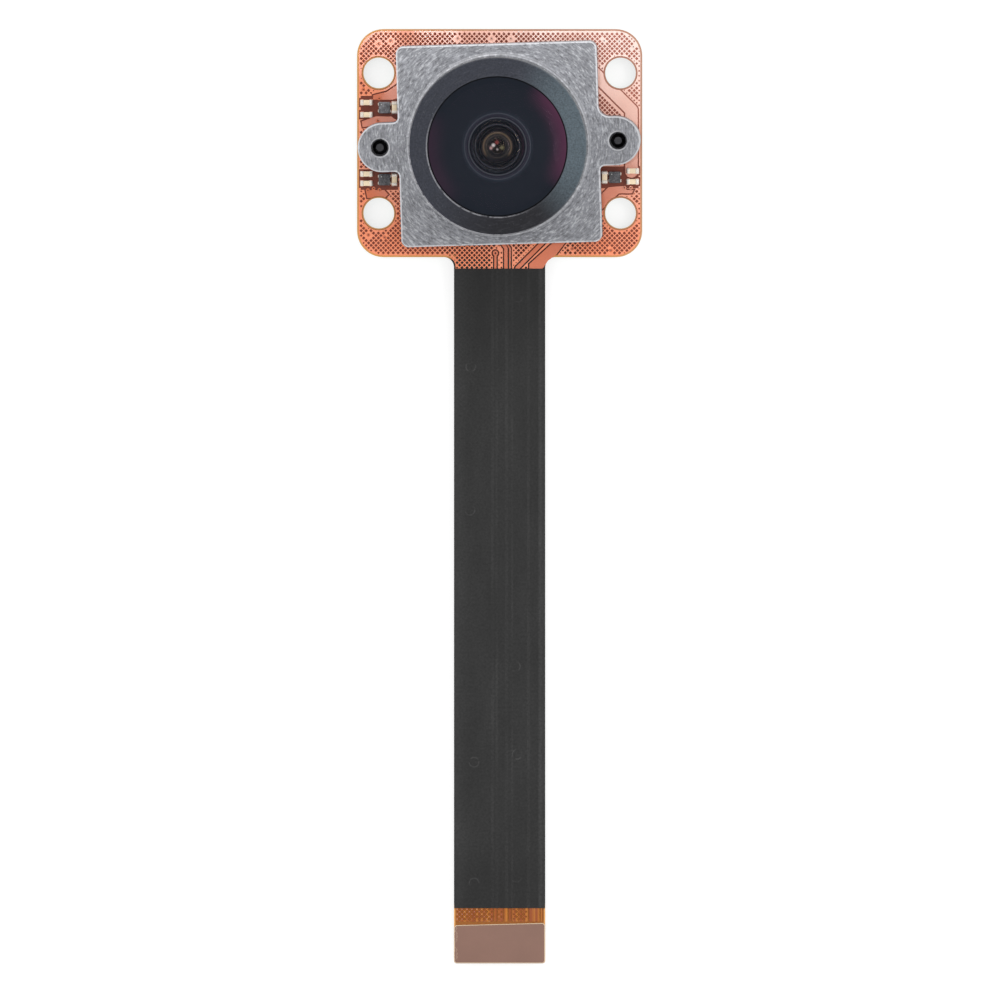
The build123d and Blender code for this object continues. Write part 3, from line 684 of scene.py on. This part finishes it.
def shield_finish(settings):
    """Black film that shows faint lines of the traces and vias below it."""
    tree, shader, place = new_material("shield_film", Specular_IOR_Level=0.35)
    x, y = tree.split(place)[:2]
    grain = tree.grain(place, 5.0, 0.95)
    cloud = tree.grain(tree.vector("MULTIPLY", place, (1.0, 0.35, 1.0)), 0.4, 0.45)
    lines = tree.larger(*(
        tree.between(tree.apart(x, line), width + 0.08, width - 0.02) for line, width in covered_traces
    ))
    drawn_out = tree.vector("MULTIPLY", place, (1.0, 0.12, 1.0))
    lines = tree.times(lines, tree.between(tree.noise(drawn_out, 1.2), 0.35, 0.6, 0.35, 1.0))
    rings = tree.larger(*(tree.ring(place, centre, 0.42, 0.10) for centre in covered_vias))
    rings = tree.times(rings, tree.between(tree.noise(place, 1.1, 1.0), 0.42, 0.6))
    hatch = tree.group("Diamond lattice", {"Vector": place, "Pitch": 0.305, "Line": 0.2})["Lines"]
    hatch = tree.times(hatch, tree.between(x, -0.5, -3.0), tree.between(y, -40.0, -11.0))
    lift = tree.math("ADD", tree.math("MULTIPLY_ADD", lines, 0.30, rings), 0.96)
    lift = tree.math("MULTIPLY_ADD", hatch, 0.16, lift)
    right = tree.between(x, 3.3, 3.6, 1.0, 1.40)
    left = tree.between(x, -2.6, -3.8, 1.0, 1.35)
    root = tree.between(y, -22.0, -13.0, 1.0, 0.82)
    end = tree.between(y, -61.0, -65.0, 1.0, 0.80)
    tone = tree.times(grain["Tone"], cloud["Tone"], lift, left, right, root, end)
    tree.put(shader["Base Color"], tree.tone(settings.shield, tone))
    tree.put(shader["Roughness"], tree.between(grain["Height"], 0.3, 0.7, 0.5, 0.66))
    height = tree.math("MULTIPLY_ADD", grain["Height"], 0.25, tree.math("ADD", lines, rings))
    tree.put(shader["Normal"], tree.bump(height, 0.006))


def stiffener_finish(settings):
    tree, shader, place = new_material("end_stiffener", Specular_IOR_Level=0.4)
    grain = tree.grain(place, 7.0, 0.05)
    cloud = tree.grain(place, 0.35, 0.12)
    rim = tree.between(tree.split(tree.true_normal())[2], 0.93, 0.8)
    base = tree.mix(rim, tree.tone(settings.stiffener, cloud["Tone"]), settings.stiffener_rim)
    tree.put(shader["Base Color"], tree.tone(base, grain["Tone"]))
    tree.put(shader["Roughness"], tree.between(grain["Height"], 0.3, 0.7, 0.42, 0.55))
    tree.put(shader["Normal"], tree.bump(grain["Height"], 0.002))


def laminate_finish(settings):
    """Glass cloth seen through its resin."""
    tree, shader, place = new_material("stiffener_board", Roughness=0.45)
    x, y = tree.split(place)[:2]
    weave = tree.times(tree.math("PINGPONG", x, 0.25), tree.math("PINGPONG", y, 0.25))
    cloth = tree.between(weave, 0.0, 0.04)
    grain = tree.grain(place, 4.0, 0.12)
    light = tree.between(cloth, 0.0, 1.0, 0.86, 1.08)
    tree.put(shader["Base Color"], tree.tone(settings.laminate, light, grain["Tone"]))
    tree.put(shader["Normal"], tree.bump(cloth, 0.006))


def casting_finish(settings):
    """Blasted metal with strokes round the lens and dark pits, a painted highlight on its bevels and painted
    light that makes it lighter towards the far side.
    """
    tree, shader, place = new_material("die_casting", Metallic=0.45)
    x, y = tree.split(place)[:2]
    grain = tree.grain(place, 5.5, 0.55)
    cloud = tree.grain(place, 0.7, 0.5)
    strokes = tree.group("Round strokes", {"Vector": place, "Around": 18.0, "Across": 7.0})
    edge_highlight = tree.group("Worn edge", {"Vector": place, "Normal": tree.true_normal()})["Mask"]
    base = tree.tone(settings.casting, grain["Tone"], cloud["Tone"])
    base = tree.mix(tree.times(strokes["Bright"], 0.62), base, settings.bright)
    base = tree.mix(tree.times(strokes["Dark"], 0.68), base, settings.dark)
    beyond_neck = tree.between(tree.radius(x, y), 8.3, 8.4, 0.25, 0.85)
    # Painted highlight: bevels beyond the neck take the bright colour
    base = tree.mix(tree.times(edge_highlight, beyond_neck), base, settings.bright)
    # Painted light: the casting lighter towards the far side and darker towards the near side. It is also a
    # little darker on the ears.
    upper = tree.between(tree.math("MULTIPLY_ADD", x, -0.25, y), -9.0, 9.0, 0.86, 1.14)
    ears = tree.between(tree.math("ABSOLUTE", x), 9.2, 10.4, 1.0, 0.9)
    tree.put(shader["Base Color"], tree.tone(base, tree.times(upper, ears)))
    tree.put(shader["Roughness"], tree.between(grain["Height"], 0.3, 0.7, 0.36, 0.56))
    height = tree.math("MULTIPLY_ADD", strokes["Height"], 0.8, grain["Height"])
    tree.put(shader["Normal"], tree.bump(height, 0.022))


def black_finish(name, settings, contrast, rough, lit):
    """Black anodised metal with painted light: lighter on its upper side, a teal painted highlight towards its
    right side, and a painted highlight on its lower-left bevels.
    """
    tree, shader, place = new_material(name, Specular_IOR_Level=0.32)
    x, y = tree.split(place)[:2]
    radius = tree.larger(tree.radius(x, y), 0.1)
    up = tree.between(tree.math("DIVIDE", tree.math("SUBTRACT", y, x), radius), -1.2, 0.4)
    right = tree.between(tree.math("DIVIDE", tree.math("MULTIPLY_ADD", y, 0.15, x), radius), 0.35, 1.0)
    lower_left = tree.between(tree.math("DIVIDE", tree.math("ADD", x, y), radius), -0.2, -1.2, 0.06, 0.7)
    grain = tree.grain(place, 7.0, contrast)
    strokes = tree.group("Round strokes", {"Vector": place, "Around": 9.0, "Across": 12.0})["Bright"]
    edge_highlight = tree.group("Worn edge", {"Vector": place, "Normal": tree.true_normal()})["Mask"]
    specks = tree.between(tree.noise(place, 6.0, 1.0), 0.73, 0.78)
    # Painted light: lighter on the upper side, and a teal painted highlight on the right side, both scaled by
    # lit
    base = tree.mix(tree.times(up, lit), settings.black, RING_UPPER_PAINTED_LIGHT)
    base = tree.tone(tree.mix(tree.times(right, lit), base, RING_RIGHT_PAINTED_HIGHLIGHT), grain["Tone"])
    base = tree.mix(tree.times(strokes, 0.04), base, RING_STROKES)
    base = tree.mix(tree.times(specks, 0.35), base, RING_SPECKS)
    # Painted highlight on the bevels to the lower left
    tree.put(shader["Base Color"], tree.mix(tree.times(edge_highlight, lower_left), base, RING_BEVEL_PAINTED_HIGHLIGHT))
    tree.put(shader["Roughness"], tree.between(grain["Height"], 0.3, 0.7, rough - 0.05, rough + 0.07))
    tree.put(shader["Normal"], tree.bump(grain["Height"], 0.005))


def glass_finish(name, tint):
    """Coated optical glass: the coating dims the reflection and tints it."""
    tree, shader, place = new_material(
        name, Metallic=0.0, Transmission_Weight=1.0, IOR=1.52, Specular_Tint=tint
    )
    smear = tree.between(tree.noise(place, 0.5), 0.4, 0.7)
    tree.put(shader["Base Color"], tree.mix(smear, CLEAR_GLASS, SMEARED_GLASS))
    tree.put(shader["Roughness"], tree.between(tree.noise(place, 1.6, 3.0), 0.6, 0.8, 0.0, 0.02))
    return tree, shader, place


def front_glass_finish(settings):
    """The front glass, with painted reflections in its emission: a painted sheen near its rim, a painted glow
    elsewhere, and painted rings and spots in its hollow.
    """
    tree, shader, place = glass_finish("front_glass", settings.front_tint)
    shader["Emission Strength"].default_value = 1.0
    x, y, z = tree.split(place)
    distance = tree.radius(x, y)
    # Painted reflections: the emission carries a painted sheen near the rim, a faint painted glow elsewhere,
    # and painted rings and spots in the hollow
    glow = tree.group("Coating sheen", {
        "Vector": place, "Start": 3.9, "Rim": settings.opening_radius / MM,
        "Sheen": (*settings.sheen, 1), "Depth": (*settings.depth, 1),
    })
    light = tree.mix(tree.between(distance, 2.3, 2.8), GLASS_CENTRE_PAINTED_GLOW, glow["Color"])
    hollow = tree.times(tree.between(z, 16.9, 16.8), tree.between(distance, 3.1, 2.95))
    light = tree.tone(light, tree.between(hollow, 0.0, 1.0, 1.0, 0.4))
    upper = tree.between(tree.math("MULTIPLY_ADD", y, 0.6, tree.math("ABSOLUTE", x)), 0.2, 0.8)
    for centre, radius, width, shade, only_upper in mirrored_marks:
        mask = tree.times(tree.ring(place, centre, radius, width), hollow)
        light = tree.mix(tree.times(mask, upper) if only_upper else mask, light, shade)
    tree.put(shader["Emission Color"], light)


def chip_finish(settings):
    tree, shader, place = new_material("chip_plastic", Roughness=0.5, Specular_IOR_Level=0.4)
    grain = tree.grain(place, 9.0, 1.3)
    cloud = tree.grain(place, 3.0, 1.3)
    far = tree.between(tree.split(place)[1], -1.0, 3.0, 1.0, 1.7)
    tree.put(shader["Base Color"], tree.tone(settings.chip, grain["Tone"], cloud["Tone"], far))
    tree.put(shader["Normal"], tree.bump(grain["Height"], 0.008))


def make_materials(scene):
    """Every finish, by the name of its slot."""
    circuit = scene.circuit_settings
    tail = scene.tail_settings
    holder = scene.holder_settings
    lens = scene.lens_settings
    part = scene.part_settings
    # The last argument turns the painted glints on for the hatch and off for the plain copper
    copper_finish("copper", circuit, circuit.copper, 1)
    copper_finish("plain_copper", circuit, circuit.copper_plain, 0)
    film_finish(circuit)
    laminate_finish(circuit)
    shield_finish(tail)
    stiffener_finish(tail)
    casting_finish(holder)
    black_finish("black_metal", lens, contrast=0.9, rough=0.42, lit=1.0)
    black_finish("lens_rings", lens, contrast=0.15, rough=0.5, lit=0.3)
    chip_finish(part)
    front_glass_finish(lens)
    for name, tint in (
        ("lens_glass", lens.inner_tint), ("cover_glass", (0.3, 0.3, 0.3)), ("filter_glass", (0.6, 0.2, 0.2)),
    ):
        glass_finish(name, tint)
    # Name, colour, contrast and scale of the grain, depth of its relief in millimetres, roughness
    for name, *values, constants in (
        ("edge_ink", (0.006, 0.007, 0.009), 0.1, 6.0, 0.001, 0.7, {"Specular_IOR_Level": 0.1}),
        ("contact_gold", tail.gold, 0.12, 9.0, 0.003, 0.28, {"Metallic": 1.0}),
        ("screw_steel", holder.screw, 0.35, 8.0, 0.004, 0.34, {"Metallic": 0.9}),
        ("tin", part.tin, 0.16, 12.0, 0.006, 0.3, {"Metallic": 0.3}),
        ("capacitor", part.ceramic, 0.25, 11.0, 0.004, 0.45, {}),
        ("chip_mark", (0.62, 0.62, 0.6), 0.2, 12.0, 0.002, 0.5, {}),
        ("sensor_ceramic", (0.10, 0.10, 0.11), 0.15, 9.0, 0.004, 0.5, {}),
        ("sensor_silicon", (0.14, 0.15, 0.18), 0.2, 20.0, 0.001, 0.2, {"Metallic": 0.6}),
        ("gasket", (0.03, 0.03, 0.03), 0.3, 8.0, 0.02, 0.8, {}),
        ("seal_rubber", (0.02, 0.02, 0.02), 0.25, 8.0, 0.01, 0.6, {}),
        ("via_shadow", (0.03, 0.012, 0.01), 0.2, 9.0, 0.002, 0.6, {}),
    ):
        grained(name, *values, **constants)


# Circuit

def hatch_cutter(settings):
    """Tapered diamond pegs, one for each opening of the hatch that shows."""
    low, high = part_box("ground_copper")
    step = settings.hatch_pitch * sqrt(2)
    rear_share, front_share = 0.78, 1.22
    depth = (high.z - low.z) * 3
    middle = (high.z + low.z) / 2
    count_x = int((high.x - low.x) / step) + 1
    pegs = []
    for shift in (0, step / 2):
        start_clean()
        bpy.ops.mesh.primitive_cone_add(
            vertices=4, depth=depth, location=(low.x + shift, low.y + shift, middle),
            radius1=settings.opening_radius * rear_share, radius2=settings.opening_radius * front_share,
        )
        pegs.append(bpy.context.object)
    cutter = joined(pegs)
    settle()
    count_y = int((high.y - low.y) / step) + 1
    for count, direction in ((count_x, (step, 0, 0)), (count_y, (0, step, 0))):
        apply_modifier(
            cutter, "ARRAY", count=count, use_relative_offset=False, use_constant_offset=True,
            constant_offset_displace=direction,
        )
    field = top_of("ground_copper")
    covers = [top_of(node) for node in ("lens_holder", "tail_shield_front", "tail_end_stiffener")]
    reach = settings.opening_radius + settings.border
    ring = [(reach * cos(pi * i / 4), reach * sin(pi * i / 4)) for i in range(8)]
    keep_clear = settings.via_radius + settings.opening_radius * 0.7

    def room(x, y):
        """The share of a full opening that fits here, or nothing where the hatch is hidden."""
        hidden = any(all(cover(x + 2 * dx, y + 2 * dy) for dx, dy in ring[::2]) for cover in covers)
        if hidden or not field(x, y):
            return 0
        if any((x - vx * MM) ** 2 + (y - vy * MM) ** 2 < keep_clear ** 2 for vx, vy in via_places):
            return 0
        fits = (
            part for part in (1, 0.8, 0.6, 0.4) if all(field(x + dx * part, y + dy * part) for dx, dy in ring)
        )
        return next(fits, 0)

    corners = 8
    wanted = []
    for first in range(0, len(cutter.data.vertices), corners):
        peg = cutter.data.vertices[first:first + corners]
        centre = sum((vertex.co for vertex in peg), Vector()) / corners
        part = room(centre.x, centre.y)
        wanted += [part > 0] * corners
        for vertex in peg:
            vertex.co.xy = centre.xy + (vertex.co.xy - centre.xy) * part
    edit(cutter, "VERT", "DESELECT")
    select_where(cutter, "verts", lambda vertex: not wanted[vertex.index])
    bpy.ops.mesh.delete(type="VERT")
    leave_edit()
    return cutter


def copper_hatch(settings):
    """The ground field with its cross-hatch cut through."""
    cutter = hatch_cutter(settings)
    hatch = merged_copy("ground_copper")
    apply_modifier(hatch, "BOOLEAN", object=cutter, operation="DIFFERENCE", solver="MANIFOLD")
    remove(cutter)
    dress(hatch, "copper")
    finish_piece(hatch, "copper_hatch", ["ground_copper"], angle=20)


def copper_traces(settings):
    """Traces, fields and pads with softly etched edges."""
    traces = merged_copy("trace_copper")
    apply_modifier(
        traces, "BEVEL", width=settings.relief_bevel, segments=2, limit_method="ANGLE",
        angle_limit=radians(60),
    )
    dress(traces, "plain_copper")
    finish_piece(traces, "copper_traces", ["trace_copper"], angle=20)


def plated_vias(settings):
    """One plated ring whose hole is a shallow dip with painted shadow, copied to each place."""
    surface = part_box("trace_copper")[1].z
    slope = settings.via_radius * 0.25
    lift = 0.012 * MM
    start_clean()
    bpy.ops.mesh.primitive_circle_add(
        vertices=16, radius=settings.via_radius, fill_type="NGON", location=(0, 0, surface)
    )
    via = bpy.context.object
    dress(via, "plain_copper", "via_shadow")
    edit(via, "FACE")
    bpy.ops.mesh.inset(thickness=slope, depth=lift)
    bpy.ops.mesh.inset(thickness=settings.via_radius - slope - settings.via_hole, depth=0)
    via.active_material_index = 1
    bpy.ops.mesh.inset(thickness=0.005 * MM, depth=0.001 * MM - lift)
    bpy.ops.object.material_slot_assign()
    leave_edit()
    settle()
    copies = [copy_at(via, Matrix.Translation((x * MM, y * MM, 0))) for x, y in via_places]
    remove(via)
    finish_piece(joined(copies), "plated_vias", angle=40)


def end_stiffener(settings):
    """The film stiffener, whose upper edge lies a little askew, with bubbles along its left edge."""
    low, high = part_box("tail_end_stiffener")
    plate = add_box(low, high, "end_stiffener")
    middle = (low + high) / 2
    edit(plate, "VERT", "DESELECT")
    select_where(plate, "verts", lambda v: v.co.x < middle.x and v.co.y > middle.y)
    bpy.ops.transform.translate(value=(0, -settings.tilt, 0))
    leave_edit()
    near = 0.01 * MM
    upper_corner, lower_corner, face_edge = 0.17 * MM, 0.25 * MM, 0.11 * MM
    bevel_where(plate, lambda m: abs(m.z - middle.z) < near and m.y > middle.y, upper_corner, 1)
    bevel_where(plate, lambda m: abs(m.z - middle.z) < near and m.y < low.y + near, lower_corner, 5)
    bevel_where(plate, lambda m: m.z > high.z - near, face_edge, 3)
    pieces = [plate]
    flattened = Matrix.Diagonal((0.9, 1.6, 0.35, 1))
    for share_up, radius in bubbles:
        start_clean()
        bpy.ops.mesh.primitive_uv_sphere_add(segments=16, ring_count=8, radius=radius * MM)
        bubble = bpy.context.object
        dress(bubble, "end_stiffener")
        place = (low.x + 0.14 * MM, low.y + share_up * (high.y - low.y), high.z - 0.01 * MM)
        bubble.data.transform(Matrix.Translation(place) @ flattened)
        pieces.append(bubble)
    finish_piece(joined(pieces), "end_stiffener", ["tail_end_stiffener"])


# Lens and holder

def cap_ring(settings):
    """The front ring, whose face falls a little outwards, with its skirt round the barrel."""
    low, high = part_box("front_cap_ring")
    outer = high.x
    inner = settings.opening_radius
    skirt = settings.skirt_radius
    seat = high.z - 0.7 * MM
    shoulder = high.z - 0.3 * MM
    bevel = 0.1 * MM
    profile = [
        (skirt, low.z), (outer - bevel, low.z), (outer, low.z + bevel),
        (outer, shoulder - 2 * bevel), (outer - 0.25 * bevel, shoulder - 0.7 * bevel),
        (outer - bevel, shoulder), (inner + 1.2 * bevel, high.z), (inner + 0.3 * bevel, high.z - 0.35 * bevel),
        (inner, high.z - 1.2 * bevel), (inner, seat), (skirt, seat), (skirt, low.z),
    ]
    ring = turned(profile, settings.steps, "black_metal")
    finish_piece(ring, "cap_ring", ["front_cap_ring"], angle=14)


def front_glass(settings):
    """The domed front glass: bulging in front, hollow behind, with a flat flange."""
    low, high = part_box("front_element")
    radius = high.x
    seat_gap = 0.03 * MM
    rim_gap = 0.11 * MM
    base = low.z + seat_gap
    flange_top = low.z + settings.flange
    bulge = high.z - flange_top
    clear = settings.opening_radius - rim_gap
    sphere = (clear ** 2 + bulge ** 2) / (2 * bulge)
    hollow = high.z - settings.centre_thickness - base
    rear = settings.clear_rear
    inner_sphere = (rear ** 2 + hollow ** 2) / (2 * hollow)
    count = 26
    front = []
    back = []
    for i in range(count + 1):
        r = clear * i / count
        front.append((r, high.z - sphere + sqrt(sphere ** 2 - r ** 2)))
        r = rear * (1 - i / count)
        back.append((r, base + hollow - inner_sphere + sqrt(inner_sphere ** 2 - r ** 2)))
    profile = front + [(radius, flange_top), (radius, base)] + back
    glass = turned(profile, settings.steps, "front_glass", "edge_ink")
    edit(glass, "FACE", "DESELECT")
    inked = flange_top + 0.01 * MM
    select_where(glass, "faces", lambda face: all(
        vertex.co.z < inked and vertex.co.xy.length > rear * 0.999 for vertex in face.verts
    ))
    glass.active_material_index = 1
    bpy.ops.object.material_slot_assign()
    leave_edit()
    finish_piece(glass, "front_glass", ["front_element"], angle=18)


# Small parts

def chip_capacitor(size):
    """A capacitor along X with its foot on the origin's level: body, capped ends and solder."""
    long, wide, tall = size
    cap = 0.25 * MM
    lip = 0.025 * MM
    body = add_box(
        (-long / 2 + cap * 0.8, -wide / 2 + lip, lip), (long / 2 - cap * 0.8, wide / 2 - lip, tall - lip),
        "capacitor",
    )
    bevel_where(body, lambda m: abs(m.x) < MERGE, 0.02 * MM, 2)
    pieces = [body]
    for side in (-1, 1):
        outer = side * long / 2
        inner = side * (long / 2 - cap)
        end = add_box((min(outer, inner), -wide / 2, 0.01 * MM), (max(outer, inner), wide / 2, tall), "tin")
        bevel_where(end, lambda m: m.z > 0.02 * MM, 0.055 * MM, 3)
        toe = side * (long / 2 + 0.07 * MM)
        heel = side * (long / 2 - 0.03 * MM)
        half = wide / 2 - 0.02 * MM
        solder = add_box((min(toe, heel), -half, 0), (max(toe, heel), half, 0.3 * MM), "tin")
        edit(solder, "VERT", "DESELECT")
        select_where(solder, "verts", lambda v: abs(v.co.x) > long / 2 and v.co.z > 0.1 * MM)
        bpy.ops.transform.translate(value=(0, 0, -0.24 * MM))
        leave_edit()
        bevel_where(solder, lambda m: m.z > 0.02 * MM, 0.02 * MM, 2)
        pieces += [end, solder]
    return joined(pieces)


def capacitors():
    low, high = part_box("capacitor_1")
    model = chip_capacitor((high.x - low.x, high.y - low.y, high.z - low.z))
    for number in range(1, 10):
        node = f"capacitor_{number}"
        low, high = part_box(node)
        centre = (low + high) / 2
        quarter = pi / 2 if high.y - low.y > high.x - low.x else 0
        place = Matrix.Translation((centre.x, centre.y, low.z)) @ Matrix.Rotation(quarter, 4, "Z")
        finish_piece(copy_at(model, place), f"chip_capacitor_{number}", [node], angle=40)
    remove(model)


def regulators():
    """Square chips with a marked corner and the ends of their tinned pads."""
    for number in range(1, 4):
        node = f"regulator_{number}"
        low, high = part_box(node)
        foot = 0.05 * MM
        body = add_box((low.x, low.y, low.z + foot), high, "chip_plastic")
        bevel_where(body, lambda m: m.z > low.z + 2 * foot, 0.04 * MM, 2)
        start_clean()
        bpy.ops.mesh.primitive_cylinder_add(
            vertices=20, radius=0.045 * MM, depth=0.012 * MM,
            location=(low.x + 0.24 * MM, high.y - 0.24 * MM, high.z - 0.003 * MM),
        )
        dot = bpy.context.object
        dress(dot, "chip_mark")
        settle()
        pieces = [body, dot]
        for side in (-1, 1):
            for row in (-1, 1):
                edge = low.x if side < 0 else high.x
                y = (low.y + high.y) / 2 + row * 0.3 * MM
                x0, x1 = sorted((edge - side * 0.2 * MM, edge + side * 0.07 * MM))
                pad = add_box((x0, y - 0.12 * MM, low.z), (x1, y + 0.12 * MM, low.z + 0.09 * MM), "tin")
                bevel_where(pad, lambda m: m.z > low.z + 0.02 * MM, 0.03 * MM, 2)
                pieces.append(pad)
        finish_piece(joined(pieces), f"chip_regulator_{number}", [node])


# Stage

def floor(settings):
    """A pale paper that keeps its shadow and is clear from below."""
    start_clean()
    bpy.ops.mesh.primitive_plane_add(size=3, location=(0, 0, -0.02 * MM))
    ground = bpy.context.object
    ground.name = "studio_floor"
    settle()
    made = bpy.data.materials.new("studio_floor")
    made.use_nodes = True
    made.node_tree.nodes.clear()
    tree = Tree(made.node_tree)
    path = tree.add("ShaderNodeLightPath").outputs
    seen = tree.larger(path["Is Camera Ray"], path["Is Glossy Ray"], path["Is Transmission Ray"])
    paper = tree.add("ShaderNodeBsdfDiffuse", {"Color": PAPER})
    glow = tree.add("ShaderNodeEmission", {"Color": WHITE, "Strength": tree.times(seen, settings.floor_glow)})
    lit = tree.add("ShaderNodeAddShader", {0: paper.outputs[0], 1: glow.outputs[0]})
    clear = tree.add("ShaderNodeBsdfTransparent")
    behind = tree.add("ShaderNodeNewGeometry").outputs["Backfacing"]
    shown = tree.add("ShaderNodeMixShader", {0: behind, 1: lit.outputs[0], 2: clear.outputs[0]})
    tree.add("ShaderNodeOutputMaterial", {"Surface": shown.outputs[0]})
    ground.data.materials.append(made)


def sky(settings):
    """Even light, weaker where it is mirrored, and white where the camera sees it."""
    world = bpy.data.worlds.new("studio_sky")
    bpy.context.scene.world = world
    world.use_nodes = True
    world.node_tree.nodes.clear()
    tree = Tree(world.node_tree)
    path = tree.add("ShaderNodeLightPath").outputs
    around = tree.add("ShaderNodeMix", {0: path["Is Glossy Ray"], 2: settings.sky, 3: settings.sky_mirrored})
    strength = tree.add("ShaderNodeMix", {0: path["Is Camera Ray"], 2: around.outputs[0], 3: 1.0}).outputs[0]
    even = tree.add("ShaderNodeBackground", {"Color": WHITE, "Strength": strength})
    tree.add("ShaderNodeOutputWorld", {"Surface": even.outputs[0]})


def lamp(name, place, size, power, tint):
    """A soft lamp that points at the middle of the head."""
    data = bpy.data.lights.new(name, "AREA")
    data.shape = "RECTANGLE"
    data.size, data.size_y = size
    data.energy = power
    data.color = tint
    made = bpy.data.objects.new(name, data)
    made.location = place
    made.rotation_euler = (-Vector(place)).to_track_quat("-Z", "Y").to_euler()
    bpy.context.scene.collection.objects.link(made)


def lamps(settings):
    lamp("key_softbox", (0.22, 0.035, 0.215), (0.22, 0.04), settings.key_power, WHITE)
    lamp("fill_softbox", (-0.06, 0.28, 0.14), (0.20, 0.06), settings.fill_power, (1.0, 0.98, 0.96))
    lamp("front_lamp", (-0.008, 0.012, 0.45), (0.014, 0.010), settings.front_power, WHITE)


def camera(settings):
    """Looks straight down, leaning a little to the right and to the far side."""
    data = bpy.data.cameras.new("camera")
    data.type = "ORTHO"
    data.ortho_scale = settings.view_width
    data.clip_start = 0.01
    data.clip_end = 2
    made = bpy.data.objects.new("camera", data)
    bpy.context.scene.collection.objects.link(made)
    lean_right, lean_far, distance = 0.0125, 0.0190, 0.5
    back = Vector((lean_right, lean_far, 1)).normalized()
    up = (Vector((0, 1, 0)) - back * back.y).normalized()
    right = up.cross(back)
    target = Vector((0.035, -31.3, 1)) * MM
    place = target + back * distance
    made.matrix_world = Matrix((
        (right.x, up.x, back.x, place.x), (right.y, up.y, back.y, place.y),
        (right.z, up.z, back.z, place.z), (0, 0, 0, 1),
    ))
    bpy.context.scene.camera = made
    bpy.context.scene.view_settings.view_transform = "Standard"


# Operators, one for each piece or group of like pieces

class MODULE_OT_finishes(bpy.types.Operator):
    """Make every finish of the module"""

    bl_idname = "camera_module.finishes"
    bl_label = "Finishes"

    def execute(self, context):
        make_effects()
        make_materials(context.scene)
        return {"FINISHED"}


class MODULE_OT_copper_hatch(bpy.types.Operator):
    """Cut the cross-hatch through the ground field"""

    bl_idname = "camera_module.copper_hatch"
    bl_label = "Copper hatch"

    def execute(self, context):
        copper_hatch(context.scene.circuit_settings)
        return {"FINISHED"}


class MODULE_OT_copper_traces(bpy.types.Operator):
    """Round the edges of the traces and pads"""

    bl_idname = "camera_module.copper_traces"
    bl_label = "Copper traces"

    def execute(self, context):
        copper_traces(context.scene.circuit_settings)
        return {"FINISHED"}


class MODULE_OT_vias(bpy.types.Operator):
    """Add the plated vias"""

    bl_idname = "camera_module.vias"
    bl_label = "Plated vias"

    def execute(self, context):
        plated_vias(context.scene.circuit_settings)
        return {"FINISHED"}


class MODULE_OT_end_stiffener(bpy.types.Operator):
    """Model the stiffener on the end of the tail"""

    bl_idname = "camera_module.end_stiffener"
    bl_label = "End stiffener"

    def execute(self, context):
        end_stiffener(context.scene.tail_settings)
        return {"FINISHED"}


class MODULE_OT_lens(bpy.types.Operator):
    """Turn the cap ring and the front glass"""

    bl_idname = "camera_module.lens"
    bl_label = "Lens front"

    def execute(self, context):
        cap_ring(context.scene.lens_settings)
        front_glass(context.scene.lens_settings)
        return {"FINISHED"}


class MODULE_OT_capacitors(bpy.types.Operator):
    """Model the chip capacitors with their solder"""

    bl_idname = "camera_module.capacitors"
    bl_label = "Capacitors"

    def execute(self, context):
        capacitors()
        return {"FINISHED"}


class MODULE_OT_regulators(bpy.types.Operator):
    """Model the regulators with their pads"""

    bl_idname = "camera_module.regulators"
    bl_label = "Regulators"

    def execute(self, context):
        regulators()
        return {"FINISHED"}


class MODULE_OT_stage(bpy.types.Operator):
    """Set the floor, the light and the camera"""

    bl_idname = "camera_module.stage"
    bl_label = "Stage"

    def execute(self, context):
        settings = context.scene.stage_settings
        floor(settings)
        sky(settings)
        lamps(settings)
        camera(settings)
        return {"FINISHED"}


class MODULE_PT_panel(bpy.types.Panel):
    """Lists the operators in the order in which they run"""

    bl_idname = "MODULE_PT_panel"
    bl_label = "Camera module"
    bl_space_type = "VIEW_3D"
    bl_region_type = "UI"
    bl_category = "Camera module"

    def draw(self, context):
        for operator in operators:
            self.layout.operator(operator.bl_idname)


settings_of = {
    "circuit_settings": CircuitSettings,
    "tail_settings": TailSettings,
    "holder_settings": HolderSettings,
    "lens_settings": LensSettings,
    "part_settings": PartSettings,
    "stage_settings": StageSettings,
}
operators = (
    MODULE_OT_finishes, MODULE_OT_copper_hatch, MODULE_OT_copper_traces, MODULE_OT_vias,
    MODULE_OT_end_stiffener, MODULE_OT_lens, MODULE_OT_capacitors, MODULE_OT_regulators, MODULE_OT_stage,
)


def register():
    for name, group in settings_of.items():
        bpy.utils.register_class(group)
        setattr(bpy.types.Scene, name, PointerProperty(type=group))
    for made in (*operators, MODULE_PT_panel):
        bpy.utils.register_class(made)


def unregister():
    for made in (MODULE_PT_panel, *reversed(operators)):
        bpy.utils.unregister_class(made)
    for name, group in settings_of.items():
        delattr(bpy.types.Scene, name)
        bpy.utils.unregister_class(group)


def main():
    register()
    start_clean()
    for operator in operators:
        group, action = operator.bl_idname.split(".")
        getattr(getattr(bpy.ops, group), action)()


if __name__ == "__main__":
    main()
